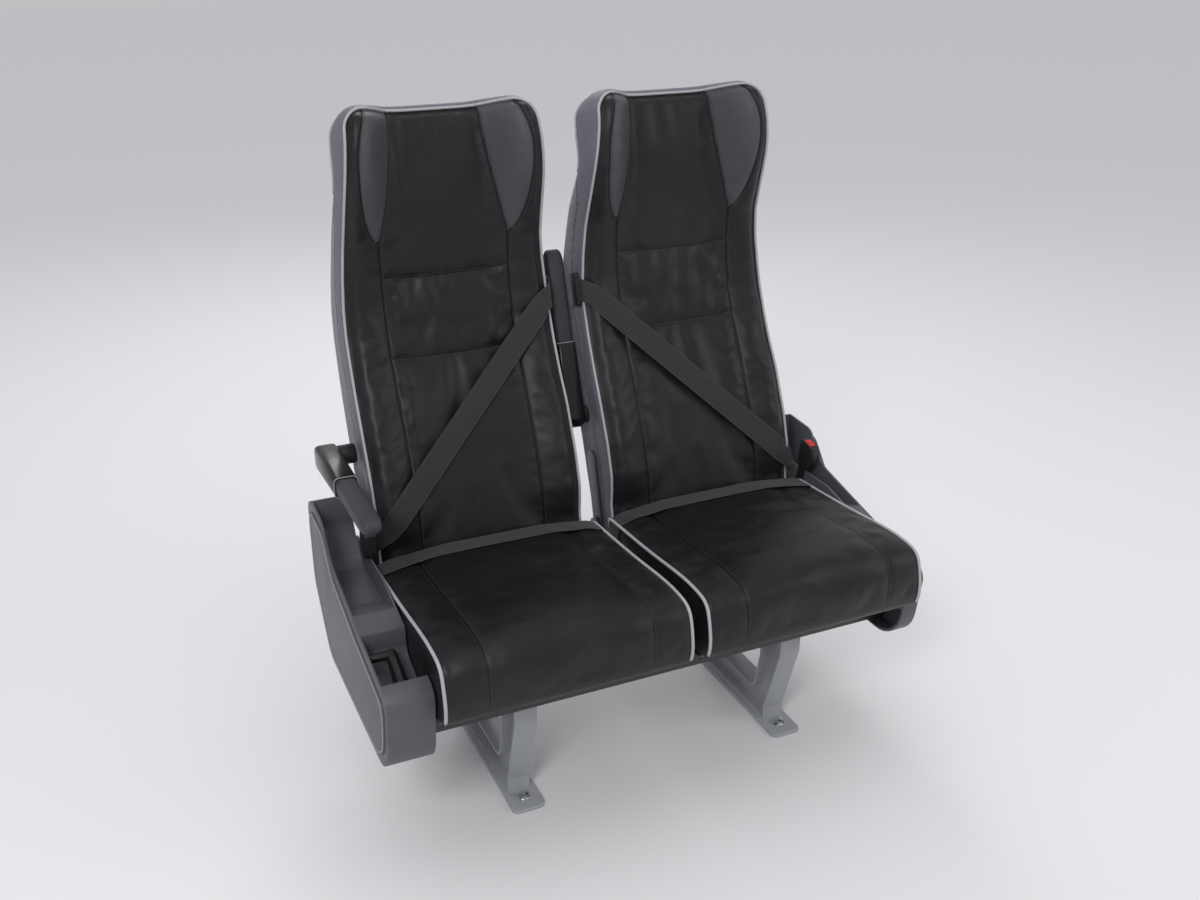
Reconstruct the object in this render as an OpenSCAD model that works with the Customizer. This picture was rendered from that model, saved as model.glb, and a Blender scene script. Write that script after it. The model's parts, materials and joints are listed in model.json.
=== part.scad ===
// Coach double seat: two reclining high-back passenger seats on one underframe.
// The seats face -Y, +X is to the right of a person who looks at the seats' fronts.
// The origin is on the floor, in the middle of the four floor bolts. Millimetres.

/* [Seat pair] */
// Gap between the two cushions
cushion_gap = 30; // [20:5:60]
// Height of the cushion's crest over the floor
seat_h = 450; // [430:5:470]
// Lean of the backrests from the vertical
lean = 16; // [12:1:20]
// Height of the hip pivots over the floor
hip_z = 350; // [340:5:360]
// Distance of the hip pivots behind the middle of the floor bolts
hip_y = 170; // [160:5:185]

/* [Backrest] */
// Length of the back from the hip pivot to its top edge
back_len = 865; // [820:5:900]
// Half the width of the back between its hinge arms
back_hw = 212; // [204:2:216]
// Half the width of the back at its waist
waist_hw = 206; // [200:1:210]
// Half the width of the back at its neck
neck_hw = 195; // [190:1:200]
// Half the width of the head's wings
head_hw = 190; // [184:1:196]
// Depth of the back's front ahead of the hip pivot at the lumbar pad
lumbar_t = 75; // [65:1:85]
// Depth of the shoulders' front behind that of the lumbar pad
bow = 44; // [30:1:50]
// Depth of the shoulders' rear behind the hip pivot
bow_rear = 84; // [70:1:90]
// Depth of the head's front ahead of the hip pivot
head_t = 93; // [85:1:100]
// Rise of the head's wings ahead of its centre
wing_rise = 82; // [60:1:90]
// Depth of the head's rear ahead of the hip pivot
head_rear = 36; // [20:1:44]
// Rise of the two outer corners of the top edge over its middle
ear_h = 2; // [0:1:10]
// Height of the flat pocket over the hip pivot
pocket_s = 120; // [100:5:200]
// Height of the pocket
pocket_h = 230; // [160:10:280]
// Margin on each side of the pocket
pocket_in = 42; // [30:2:80]
// Opening of the pocket at its mouth
pocket_gap = 26; // [15:1:40]

/* [Cushion] */
// Width of the cushion
cushion_w = 455; // [440:5:465]
// Length from the back's face to the nose
cushion_l = 440; // [400:5:470]
// Drop of the cushion's top from nose to crease
cushion_drop = 28; // [10:2:40]
// Height of the crown over the cushion's edges
cushion_crown = 10; // [4:1:16]
// Radius of the nose
nose_r = 48; // [30:2:55]

/* [Underframe] */
// Width of the square beams
beam = 40; // [30:2:44]
// Wall of the square beams
beam_wall = 3; // [2:0.5:5]
// Height of the beams' top faces over the floor
beam_top = 262; // [240:2:266]
// Front beam's middle, ahead of the middle of the bolts
front_beam_y = 170; // [150:5:200]
// Rear beam's middle, behind the middle of the bolts
rear_beam_y = 108; // [90:2:112]
// Distance between the two legs
leg_span = 560; // [480:10:640]
// Width of a leg and its foot
leg_w = 44; // [36:2:60]
// Sheet thickness of a leg
leg_t = 4; // [3:0.5:6]
// Length of a foot plate
foot_l = 400; // [380:10:440]
// Width of a foot plate
foot_w = 64; // [60:2:80]
// Thickness of a foot plate
foot_t = 8; // [6:1:12]
// Distance between a foot's two floor bolts
bolt_span = 330; // [300:10:350]
// Radius of the floor bolts' holes
bolt_r = 5.5; // [4.5:0.5:6.5]
// Thickness of the hinge plates and arms
plate_t = 5; // [4:0.5:6]
// Radius of the hip pins
pin_r = 8; // [6:0.5:10]
// Radius of the ears round the hip pins
ear_r = 27; // [22:1:30]
// Thickness of the seat pans
pan_t = 4; // [3:0.5:6]

/* [Recline] */
// Travel of the backrests
recline = 25; // [15:1:28]
// Length of the lever that works the gas spring
lever_r = 65; // [55:1:70]
// Radius of the gas spring's cylinder
spring_r = 13; // [10:0.5:13]
// Radius of the gas spring's rod
rod_r = 5; // [4:0.5:6]
// Distance of the gas springs from the middle of their seat
spring_x = 150; // [100:5:180]

/* [Armrests] */
// Height of the armrests' pivots over the cushion's crest
arm_over_seat = 135; // [125:5:160]
// Distance of the armrests' pivots behind the backs' hip line
arm_t = 5; // [0:1:12]
// Length of an armrest from its pivot to its tip
arm_len = 340; // [300:10:360]
// Width of an armrest's rear part
arm_w = 43; // [34:1:46]
// Step in on each side from an armrest's rear part to its pad
arm_step = 2.5; // [1:0.5:5]
// Height of an armrest at its pivot
arm_h = 50; // [40:2:56]
// Radius of the armrest's pin
arm_pin_r = 9; // [7:0.5:11]
// Radius of the boss round that pin
boss_r = 19; // [14:1:22]
// Room on each side of the middle armrest
arm_room = 9; // [7:0.5:15]

/* [Covers and belts] */
// Width of the aisle side cover
aisle_cover_w = 82; // [76:2:96]
// Width of the window side cover
window_cover_w = 34; // [32:1:50]
// Wall of the covers
cover_wall = 4; // [3:0.5:5]
// Height of the panel on a cover's outer face
panel_rise = 3; // [1:0.5:4]
// Margin round that panel
panel_inset = 15; // [10:1:20]
// Width of the belt webbing
belt_w = 46; // [40:1:50]
// Thickness of the belt webbing
belt_t = 1.4; // [1:0.1:2.5]

/* [Hidden] */
$fn = 48;

// Clearances: soft parts, bores round pins, between plates that turn, and the drifting rod eye
soft_gap = 0.3;
pin_gap = 0.05;
plate_gap = 2.5;
eye_gap = 1.2;
pin_head = 4;

// Distance between the middles of the two seats
seat_pitch = max(cushion_w + cushion_gap, 2 * (back_hw + arm_room) + arm_w);

// The aisle seat is side -1, the window seat is side +1, and a seat's outer side has that sign.
arm_plate_x = back_hw + soft_gap;
carrier_x = arm_plate_x + plate_t + plate_gap;
cover_x = max(cushion_w / 2, carrier_x + plate_t) + 3;
pan_z = beam_top + 50;
cushion_z = pan_z + pan_t + soft_gap;
rail_x = seat_pitch / 2;
aisle_end = rail_x + cover_x + aisle_cover_w - cover_wall;
window_end = rail_x + cover_x + window_cover_w - cover_wall;
spring_z = hip_z - lever_r * (1 + cos(recline / 2)) / 2;
arm_s = (seat_h + arm_over_seat - hip_z + arm_t * sin(lean)) / cos(lean);
crease_k = (seat_h - cushion_drop - hip_z) / cos(lean) / back_len;

function clamp01(v) = min(1, max(0, v));
function smooth(a, b, v) = let(q = clamp01((v - a) / (b - a))) q * q * (3 - 2 * q);

// Linear reading of one column of a table that is sorted by its first column
function at(table, s, col) =
    let(n = len(table), i = max([for (k = [0:n - 2]) table[k][0] <= s ? k : 0]))
    let(a = table[i], b = table[i + 1])
    a[col] + (b[col] - a[col]) * clamp01((s - a[0]) / (b[0] - a[0]));

// Outline with round corners: each point is [x, y, radius]
function round_outline(points, steps = 6) = [
    for (i = [0:len(points) - 1])
        let(n = len(points), p = points[i], a = points[(i + n - 1) % n], b = points[(i + 1) % n])
        let(c = [p[0], p[1]], u = [a[0], a[1]] - c, v = [b[0], b[1]] - c)
        let(ul = norm(u), vl = norm(v), half = acos((u * v) / (ul * vl)) / 2)
        let(t = min(p[2] / tan(half), ul * 0.49, vl * 0.49), r = t * tan(half))
        let(m = c + (u / ul + v / vl) / norm(u / ul + v / vl) * (r / sin(half)))
        let(p0 = c + u / ul * t - m, p1 = c + v / vl * t - m)
        let(a0 = atan2(p0[1], p0[0]), turn = atan2(p0[0] * p1[1] - p0[1] * p1[0], p0 * p1))
        for (k = [0:p[2] > 0 ? steps : 0]) m + r * [cos(a0 + turn * k / steps), sin(a0 + turn * k / steps)]
];

// The corners of an outline moved by d away from its middle, or towards it where d is negative
function grown(points, d, middle) = [
    for (p = points) [p[0] + d * sign(p[0] - middle[0]), p[1] + d * sign(p[1] - middle[1]), p[2]]
];

// Closed solid through rings of equal length, capped by a fan round each end ring's middle, or by
// one flat face where the end rings are flat
module loft(rings, flat = false) {
    n = len(rings[0]);
    m = len(rings);
    mid = function(ring) [for (i = [0:2]) [for (p = ring) p[i]] * [for (p = ring) 1] / n];
    points = concat([for (ring = rings) each ring], flat ? [] : [mid(rings[0]), mid(rings[m - 1])]);
    sides = [
        for (j = [0:m - 2], i = [0:n - 1])
            let(a = j * n + i, b = j * n + (i + 1) % n)
            each [[a, b, b + n], [a, b + n, a + n]]
    ];
    fans = [
        for (i = [0:n - 1])
            each [[m * n, (i + 1) % n, i], [m * n + 1, (m - 1) * n + i, (m - 1) * n + (i + 1) % n]]
    ];
    faces = [[for (i = [n - 1:-1:0]) i], [for (i = [0:n - 1]) (m - 1) * n + i]];
    polyhedron(points, concat(sides, flat ? faces : fans));
}

module capsule_2d(p, q, r) {
    d = (q - p) / norm(q - p);
    side = [-d[1], d[0]] * r;
    translate(p) circle(r);
    translate(q) circle(r);
    polygon([p + side, q + side, q - side, p - side]);
}

// Extrudes a (y, z) outline along X from x0 to x1
module across(x0, x1) {
    translate([min(x0, x1), 0, 0]) rotate([90, 0, 90]) linear_extrude(abs(x1 - x0)) children();
}

module rod_x(x0, x1, r) {
    translate([min(x0, x1), 0, 0]) rotate([0, 90, 0]) cylinder(h = abs(x1 - x0), r = r);
}

// Places a seat's piece: X from the seat's middle, positive outwards, so +1 keeps and -1 mirrors
module seat(side) {
    translate([side * rail_x, 0, 0]) mirror([side < 0 ? 1 : 0, 0, 0]) children();
}

module at_hip() {
    translate([0, hip_y, hip_z]) children();
}

// The back's own frame: +Z along the back, +Y to its rear, 0 at the hip pivot
module in_back() {
    at_hip() rotate([-lean, 0, 0]) children();
}

// Backrest: columns are place along the back (0 hip, 1 top), half width, centre's depth ahead
// of the hip pivot, rise of the side wings ahead of the centre, depth behind the pivot
arm_zone = (arm_s + 40) / back_len;
BACK = [
    [-0.023, back_hw, lumbar_t - 12, 0, 40],
    [0.00, back_hw, lumbar_t - 4, 0, 44],
    [0.45 * crease_k, back_hw, lumbar_t, 0, 46],
    [0.8 * crease_k, back_hw, lumbar_t, 1, 48],
    [crease_k + 0.013, back_hw, lumbar_t, 12, 51],
    [crease_k + 0.053, back_hw, lumbar_t - 1, 22, 54],
    [0.22, back_hw, lumbar_t - 6, 24, 59],
    [arm_zone, back_hw, lumbar_t - 18, 21, bow_rear - 14],
    [0.40, back_hw - 1, lumbar_t - 29, 18, bow_rear - 6],
    [0.47, back_hw - 3, lumbar_t - bow + 5, 17, bow_rear - 1],
    [0.54, waist_hw + 1, lumbar_t - bow, 17, bow_rear],
    [0.60, waist_hw - 1, lumbar_t - bow + 2, 18, bow_rear - 5],
    [0.66, neck_hw + 6, lumbar_t - bow + 9, 20, bow_rear - 16],
    [0.72, neck_hw + 2, head_t - 42, 0.33 * wing_rise, bow_rear - 38],
    [0.77, neck_hw, head_t - 30, 0.51 * wing_rise, bow_rear - 62],
    [0.815, neck_hw - 1, head_t - 19, 0.70 * wing_rise, 22 - head_rear],
    [0.85, head_hw + 3, head_t - 12, 0.84 * wing_rise, -head_rear - 6],
    [0.88, head_hw + 1, head_t - 7, 0.93 * wing_rise, -head_rear - 8],
    [0.92, head_hw - 2, head_t - 3, wing_rise, -head_rear - 2],
    [0.955, head_hw - 6, head_t - 1, wing_rise - 1, -head_rear],
    [0.98, head_hw - 11, head_t + 1, wing_rise - 10, -head_rear - 2],
    [0.993, head_hw - 15, head_t + 2, wing_rise - 22, -head_rear - 8],
    [1.00, head_hw - 22, head_t - 1, wing_rise - 36, -head_rear - 17],
];
FRONT_U = [0, 0.26, 0.44, 0.56, 0.68, 0.80, 0.90, 0.97];
edge_drop = 12;
side_in = 6;

function wing(u) = smooth(0.42, 0.84, u);

// Depth (Y in the back's frame) of the front face at place k and share u of the half width
function front_y(k, u) = -at(BACK, k, 2) - at(BACK, k, 3) * wing(u) + edge_drop * smooth(0.88, 1, u);

function back_half_ring(k) =
    let(w = at(BACK, k, 1), rear = at(BACK, k, 4), edge = front_y(k, 1))
    let(lift = ear_h * smooth(0.9, 1, k))
    let(z = function(u) back_len * k - lift * (1 - wing(u)))
    concat(
        [for (u = FRONT_U) [u * (w - side_in), front_y(k, u), z(u)]],
        [[w - side_in, edge, z(1)], [w, edge + 14, z(1)], [w, rear - 22, z(1)],
         [w - 8, rear - 6, z(1)], [w - 30, rear, z(0.8)], [w * 0.5, rear + 2, z(0.5)], [0, rear + 2, z(0)]]
    );

// A full ring from a half ring whose first and last points are on the middle
function mirror_ring(half) =
    concat(half, [for (i = [len(half) - 2:-1:1]) [-half[i][0], half[i][1], half[i][2]]]);

module back_pad() {
    color("#26272b")
        in_back()
        loft([for (row = BACK) mirror_ring(back_half_ring(row[0]))]);
}

// Cushion: columns are place from the crease (0) to the nose (1), top's fall below the crest,
// bottom's rise, pull-in of the sides
nose_k = nose_r / cushion_l;
CUSHION = [
    [0.00, cushion_drop + 6, 0, 3],
    [0.04, cushion_drop, 0, 1],
    [0.25, cushion_drop * 0.85, 0, 0],
    [0.50, cushion_drop * 0.5, 0, 0],
    [0.72, cushion_drop * 0.12, 0, 0],
    [1 - 1.3 * nose_k, 0, 0, 0],
    [1 - 0.62 * nose_k, nose_r * 0.16, 0, 0],
    [1 - 0.25 * nose_k, nose_r * 0.42, nose_r * 0.1, 2],
    [1 - 0.05 * nose_k, nose_r * 0.78, nose_r * 0.3, 6],
    [1, nose_r * 1.25, nose_r * 0.7, 12],
];
CUSHION_U = [0, 0.35, 0.62, 0.82, 0.92];

// The crease face leans with the back, soft_gap ahead of the pad's lumbar face
function crease_y(z) = hip_y + (z - hip_z) * tan(lean) - (lumbar_t + 1.5 + soft_gap) / cos(lean);

function cushion_half_ring(row) =
    let(top = seat_h - row[1], low = cushion_z + row[2], w = cushion_w / 2 - row[3])
    let(lean_share = 1 - clamp01(row[0] * 8), start = crease_y(top) - row[0] * cushion_l)
    let(y = function(z) start + (crease_y(min(z, top)) - crease_y(top)) * lean_share)
    let(crown = function(u) top - cushion_crown * smooth(0.2, 1, u))
    concat(
        [for (u = CUSHION_U) [u * w, y(crown(u)), crown(u)]],
        [for (p = [[w - 6, top - cushion_crown - 3], [w, top - cushion_crown - 14],
                   [w, (top + low) / 2], [w - 2, low + 10], [w - 10, low], [w * 0.5, low], [0, low]])
            [p[0], y(p[1]), p[1]]]
    );

module cushion() {
    color("#232428")
        loft([for (i = [len(CUSHION) - 1:-1:0]) mirror_ring(cushion_half_ring(CUSHION[i]))]);
}

// Beams run from the aisle cover's wall to the window cover's wall
module beam_tube(y) {
    color("#2b2c2e")
        difference() {
            translate([-aisle_end, y - beam / 2, beam_top - beam])
                cube([aisle_end + window_end, beam, beam]);
            translate([-aisle_end - 1, y - beam / 2 + beam_wall, beam_top - beam + beam_wall])
                cube([aisle_end + window_end + 2, beam - 2 * beam_wall, beam - 2 * beam_wall]);
        }
}

// Gas spring's front bracket: two lugs and a pin on top of the beam
spring_eye_w = 12;
lug_t = 4;
module spring_bracket() {
    for (s = [-1, 1])
        across(s * (spring_eye_w / 2 + 1), s * (spring_eye_w / 2 + 1 + lug_t)) {
            translate([-front_beam_y - 12, beam_top]) square([24, spring_z - beam_top]);
            translate([-front_beam_y, spring_z]) circle(12);
        }
    translate([0, -front_beam_y, spring_z])
        rod_x(-spring_eye_w / 2 - 1 - lug_t, spring_eye_w / 2 + 1 + lug_t, rod_r);
}

module front_beam() {
    beam_tube(-front_beam_y);
    color("#2b2c2e")
        for (side = [-1, 1])
            seat(side) translate([spring_x, 0, 0]) spring_bracket();
}

module rear_beam() {
    beam_tube(rear_beam_y);
}

// Pressed leg: a web with a rim all round, open in the middle, on a foot plate. It stands between
// the bolts, with room for their heads. inset moves every side of the outline inwards
bolt_room = 24;
leg_reach = bolt_span / 2 - bolt_room;
leg_heel = foot_t + 26;
leg_shoulder = beam_top - beam - 30;
leg_band = 46;
function leg_outline(inset) = [
    [-leg_reach + inset, foot_t + inset, 0],
    [-leg_reach + inset, leg_heel, 14],
    [-front_beam_y - beam / 2 + inset, leg_shoulder, 14],
    [-front_beam_y - beam / 2 + inset, beam_top - beam - inset, 0],
    [rear_beam_y + beam / 2 - inset, beam_top - beam - inset, 0],
    [rear_beam_y + beam / 2 - inset, leg_shoulder, 14],
    [leg_reach - inset, leg_heel, 14],
    [leg_reach - inset, foot_t + inset, 0],
];

function leg_window_outline() =
    let(low = foot_t + leg_band + 6, high = beam_top - beam - leg_band + 2)
    [
        [-leg_reach + leg_band, low, 24], [-front_beam_y - beam / 2 + 1.5 * leg_band, high, 22],
        [rear_beam_y + beam / 2 - 1.5 * leg_band, high, 22], [leg_reach - leg_band, low, 24],
    ];

module leg() {
    color("#303134") {
        difference() {
            across(-leg_w / 2, leg_w / 2) polygon(round_outline(leg_outline(0)));
            for (s = [-1, 1])
                across(s * leg_t / 2, s * (leg_w / 2 + 1)) polygon(round_outline(leg_outline(leg_t)));
            across(-leg_w, leg_w) polygon(round_outline(leg_window_outline()));
        }
        for (s = [-1, 1])
            across(s * leg_t / 2, s * leg_w / 2) rim_2d();
        foot_plate();
    }
}

// The pressed collar round the leg's window
module rim_2d() {
    middle = [(rear_beam_y - front_beam_y) / 2, beam_top / 2];
    difference() {
        polygon(round_outline(grown(leg_window_outline(), leg_t, middle)));
        polygon(round_outline(leg_window_outline()));
    }
}

module foot_plate() {
    difference() {
        linear_extrude(foot_t)
            polygon(round_outline([
                [-foot_w / 2, -foot_l / 2, 12], [-foot_w / 2, foot_l / 2, 12],
                [foot_w / 2, foot_l / 2, 12], [foot_w / 2, -foot_l / 2, 12],
            ]));
        for (s = [-1, 1])
            translate([0, s * bolt_span / 2, -1]) cylinder(h = foot_t + 2, r = bolt_r);
    }
}

module leg_aisle() { translate([-leg_span / 2, 0, 0]) leg(); }
module leg_window() { translate([leg_span / 2, 0, 0]) leg(); }

// Hinge plate: stands on both beams, carries the pan's edge and the hip pin
plate_band = 15;
module hinge_plate(x) {
    low = beam_top + plate_band;
    high = pan_z - plate_band;
    difference() {
        across(x, x + plate_t) {
            polygon(round_outline([
                [-front_beam_y - beam / 2, beam_top, 0], [-front_beam_y - beam / 2, pan_z, 0],
                [crease_y(pan_z) - 12, pan_z, ear_r], [hip_y - ear_r, hip_z, ear_r],
                [hip_y + ear_r, hip_z, 0], [rear_beam_y + beam / 2, beam_top, 0],
            ]));
            translate([hip_y, hip_z]) circle(ear_r);
        }
        across(x - 1, x + plate_t + 1)
            polygon(round_outline([
                [beam - front_beam_y, low, beam / 4], [beam - front_beam_y, high, beam / 4],
                [rear_beam_y - 1.5 * beam, high, beam / 4], [rear_beam_y - beam, low, beam / 4],
            ]));
    }
}

module hip_pin(x0, x1) {
    at_hip() rod_x(x0, x1, pin_r);
}

module carrier() {
    color("#2b2c2e") {
        hinge_plate(carrier_x);
        hip_pin(arm_plate_x, carrier_x + plate_t);
        at_hip() rod_x(arm_plate_x + plate_t + 0.5, carrier_x, pin_r + pin_head);
    }
}

module carrier_aisle() { seat(-1) carrier(); }
module carrier_window() { seat(1) carrier(); }

// The middle carrier holds both inner hip pins, with a cross web between its two plates
module carrier_middle() {
    inner = rail_x - carrier_x;
    for (side = [-1, 1]) seat(side) mirror([1, 0, 0]) carrier();
    color("#2b2c2e")
        for (y = [-front_beam_y + 4, rear_beam_y - 10])
            translate([-inner, y, beam_top]) cube([2 * inner, plate_t, pan_z - beam_top - 16]);
}

// Seat pan: pressed sheet with a turned-down rim and ribs under it
rim_t = 2;
rim_h = 12;
rib_w = 8;
rib_h = 7;
rib_pitch = 60;
module pan() {
    front = crease_y(pan_z) - cushion_l + 70;
    rear = crease_y(pan_z) - 34;
    color("#3a3b3d") {
        translate([-cushion_w / 2, front, pan_z]) cube([cushion_w, rear - front, pan_t]);
        for (x = [1 - carrier_x, carrier_x - 1 - rim_t])
            translate([x, front, pan_z - rim_h]) cube([rim_t, rear - front, rim_h]);
        for (n = [-1.5:1.5])
            translate([n * rib_pitch - rib_w / 2, front + 30, pan_z - rib_h])
                cube([rib_w, rear - front - 60, rib_h]);
    }
}

// Side covers: moulded shells, open to the cushion, with a trough for the buckle and a notch for
// the recline lever. Corners are (y, z, radius), from the low front round the top to the low rear
cover_low = beam_top - beam - 12;
cover_front = crease_y(seat_h - cushion_drop) - cushion_l + 37;
cover_mid = [hip_y - 190, seat_h - 80];
COVER = [
    [cover_front + 24, cover_low, 75], [cover_front, seat_h - 72, 30], [cover_front + 167, seat_h - 42, 90],
    [hip_y - 100, seat_h + 2, 70], [hip_y - 48, seat_h + 64, 30], [hip_y + 62, seat_h + 70, 34],
    [hip_y + 66, hip_z - 20, 60], [hip_y - 20, cover_low, 50],
];
// Height over both hollows from which they are open to above
sky = seat_h + 200;
trough_z = seat_h - 60;
trough_front = cover_front + 194;
trough_mid = [hip_y - 130, seat_h + 60];
TROUGH = [
    [trough_front, seat_h - 22, 0], [trough_front, sky, 0], [hip_y + 44, sky, 0],
    [hip_y + 28, seat_h + 10, 30], [hip_y - 16, trough_z, 40], [hip_y - 160, trough_z, 70],
];
lever_y = cover_front + 142;
notch_z = seat_h - 134;
notch_mid = [lever_y - 30, seat_h];
NOTCH = [
    [lever_y - 96, notch_z, 22], [lever_y - 112, sky, 0],
    [lever_y + 26, sky, 0], [lever_y + 26, seat_h - 92, 26],
];

module hollow_2d(points, middle, grow) {
    polygon(round_outline(grown(points, grow, middle), 8));
}

module side_cover(width) {
    x0 = cover_x;
    x1 = cover_x + width;
    open_z = seat_h - 14;
    color("#4c4d52") {
        difference() {
            across(x0, x1) hollow_2d(COVER, cover_mid, 0);
            across(x0 + cover_wall, x1 - cover_wall) hollow_2d(TROUGH, trough_mid, 0);
            across(x0 - 1, x1 - cover_wall) hollow_2d(NOTCH, notch_mid, 0);
            translate([x0 - 1, trough_front - cover_wall, open_z])
                cube([cover_wall + 2, hip_y + 67 - trough_front, sky - open_z]);
            across(x0 - 1, x1 - cover_wall)
                difference() {
                    hollow_2d(COVER, cover_mid, -cover_wall);
                    hollow_2d(TROUGH, trough_mid, cover_wall);
                    hollow_2d(NOTCH, notch_mid, cover_wall);
                }
        }
        across(x1 - 1, x1 + panel_rise) hollow_2d(COVER, cover_mid, -panel_inset);
    }
}

module side_cover_aisle() { seat(-1) side_cover(aisle_cover_w); }
module side_cover_window() { seat(1) side_cover(window_cover_w); }

// Recline lever: a paddle that points forwards and down in the cover's notch, its boss on the
// cover's wall. Columns are place ahead of the boss, drop below the crest, and the ball's radii
// in x, y and z
LEVER = [
    [0, 74, [10, 10, 10]], [30, 84, [11, 12, 10]], [62, 102, [13, 20, 11]],
];
module lever(x, wall_x) {
    color("#141416") {
        hull()
            for (row = LEVER)
                translate([x, lever_y - row[0], seat_h - row[1]]) scale(row[2]) sphere(1, $fn = 24);
        translate([0, lever_y, seat_h - LEVER[0][1]]) rod_x(x, wall_x - pin_gap, 8);
    }
}

module lever_aisle() { seat(-1) lever(cover_x + 34, cover_x + aisle_cover_w - cover_wall); }
module lever_window() { seat(1) lever(cover_x + 14, cover_x + window_cover_w - cover_wall); }

// Buckle on a flat stalk between cushion and cover, bolted to the hinge plate's outer face
buckle_y = hip_y - 42;
buckle_z = pan_z - 16;
buckle_lean = 13;
buckle_l = 62;
buckle_w = 40;
buckle_t = 20;
button_w = 24;
button_l = 13;
stalk_r = 11;
stalk_l = seat_h - buckle_z - 4;
stalk_t = cover_x - cushion_w / 2 - 1;
// Distance of the buckle's inner face past the stalk's, over the cushion's edge
buckle_over = 2;
module at_buckle(side) {
    seat(side) translate([cover_x - 0.5, buckle_y, buckle_z]) rotate([buckle_lean, 0, 0]) children();
}

module button_2d() {
    top = stalk_l + buckle_l;
    polygon(round_outline([
        [-button_w / 2, top - button_l, 4], [-button_w / 2, top + 1, 3],
        [button_w / 2, top + 1, 3], [button_w / 2, top - button_l, 4],
    ]));
}

// Inner face of the buckle, and the wall on each side of its button
buckle_x = -stalk_t - buckle_over;
button_wall = 3;
module buckle(side) {
    color("#1a1a1c")
        at_buckle(side) {
            rod_x(carrier_x + plate_t - cover_x + 0.5, 0, 9);
            translate([-stalk_t, 0, 0])
                across(0, stalk_t) capsule_2d([0, 0], [0, stalk_l], stalk_r);
            difference() {
                across(buckle_x, buckle_x + buckle_t)
                    polygon(round_outline([
                        [-stalk_r - 2, stalk_l, 4], [-buckle_w / 2, stalk_l + 16, 14],
                        [-buckle_w / 2, stalk_l + buckle_l, 7], [buckle_w / 2, stalk_l + buckle_l, 7],
                        [buckle_w / 2, stalk_l + 16, 14], [stalk_r + 2, stalk_l, 4],
                    ]));
                across(buckle_x + button_wall, buckle_x + buckle_t - button_wall) button_2d();
            }
        }
}
module buckle_aisle() { buckle(-1); }
module buckle_window() { buckle(1); }

module button(side) {
    color("#b3121c")
        at_buckle(side) across(buckle_x + button_wall, buckle_x + buckle_t - button_wall) button_2d();
}
module button_aisle() { button(-1); }
module button_window() { button(1); }

// Lap strap: a flat ribbon on the cushion's top, just ahead of the crease
strap_set = 18;
module lap_strap() {
    fall = function(x) cushion_crown * smooth(0.2, 1, abs(x) / (cushion_w / 2));
    z = function(x, k) seat_h - at(CUSHION, k, 1) - fall(x) + soft_gap;
    y = function(k) crease_y(seat_h - cushion_drop) - k * cushion_l;
    k0 = strap_set / cushion_l;
    k1 = (strap_set + belt_w) / cushion_l;
    reach = cushion_w / 2 - 8;
    color("#161618")
        loft([for (i = [-8:8])
            let(x = i * reach / 8, up = [0, 0, belt_t])
            let(front = [x, y(k1), z(x, k1)], rear = [x, y(k0), z(x, k0)])
            [front, rear, rear + up, front + up]]);
}
module lap_strap_aisle() { seat(-1) lap_strap(); }
module lap_strap_window() { seat(1) lap_strap(); }

// Gas spring between the front beam and the lever under the back
cylinder_rear = 88;
bore_l = 96;
spring_eye_r = 11;
// Length of rod that stays in the cylinder, upright
rod_hidden = 50;
module spring_cylinder() {
    color("#202124")
        translate([spring_x, 0, spring_z]) {
            difference() {
                union() {
                    translate([0, cylinder_rear, 0]) rotate([90, 0, 0])
                        cylinder(h = cylinder_rear + front_beam_y - 16, r = spring_r);
                    translate([0, -front_beam_y, 0]) rod_x(-spring_eye_w / 2, spring_eye_w / 2, spring_eye_r);
                    translate([0, -front_beam_y + 17, 0]) rotate([90, 0, 0]) cylinder(h = 14, r = rod_r);
                }
                translate([0, cylinder_rear + 1, 0]) rotate([90, 0, 0])
                    cylinder(h = bore_l + 1, r = rod_r + pin_gap);
                translate([0, -front_beam_y, 0]) rod_x(-spring_eye_w, spring_eye_w, rod_r + pin_gap);
            }
        }
}
module spring_cylinder_aisle() { seat(-1) spring_cylinder(); }
module spring_cylinder_window() { seat(1) spring_cylinder(); }

eye_y = hip_y + lever_r * sin(recline / 2);
module spring_rod() {
    color("#b9bcc0")
        translate([spring_x, eye_y, spring_z])
        difference() {
            union() {
                rod_x(-spring_eye_w / 2, spring_eye_w / 2, spring_eye_r);
                rotate([90, 0, 0]) cylinder(h = eye_y - cylinder_rear + rod_hidden, r = rod_r);
            }
            rod_x(-spring_eye_w, spring_eye_w, rod_r + eye_gap);
        }
}
module spring_rod_aisle() { seat(-1) spring_rod(); }
module spring_rod_window() { seat(1) spring_rod(); }

// Back frame: two hinge arms on the pad's sides, a cross tube under it and the spring's lever
tube_s = -42;
tube_r = 12;
arm_top = 150;
arm_r = 20;
module back_frame() {
    eye = lever_r * [sin(recline / 2 + lean), -cos(recline / 2 + lean)];
    color("#2b2c2e")
        in_back() {
            for (s = [-1, 1])
                difference() {
                    across(s * arm_plate_x, s * (arm_plate_x + plate_t)) {
                        capsule_2d([0, tube_s], [0, 0], arm_r);
                        capsule_2d([0, 0], [-6, arm_top], arm_r);
                    }
                    rod_x(s * (arm_plate_x - 1), s * (arm_plate_x + plate_t + 1), pin_r + pin_gap);
                }
            translate([0, 0, tube_s]) rod_x(-arm_plate_x, arm_plate_x, tube_r);
            for (s = [-1, 1])
                across(spring_x + s * (spring_eye_w / 2 + 1), spring_x + s * (spring_eye_w / 2 + 1 + lug_t))
                    capsule_2d([0, tube_s], eye, 9);
            translate([0, eye[0], eye[1]])
                rod_x(spring_x - spring_eye_w / 2 - 1, spring_x + spring_eye_w / 2 + 1, rod_r);
        }
}
module back_frame_aisle() { seat(-1) back_frame(); }
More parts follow.
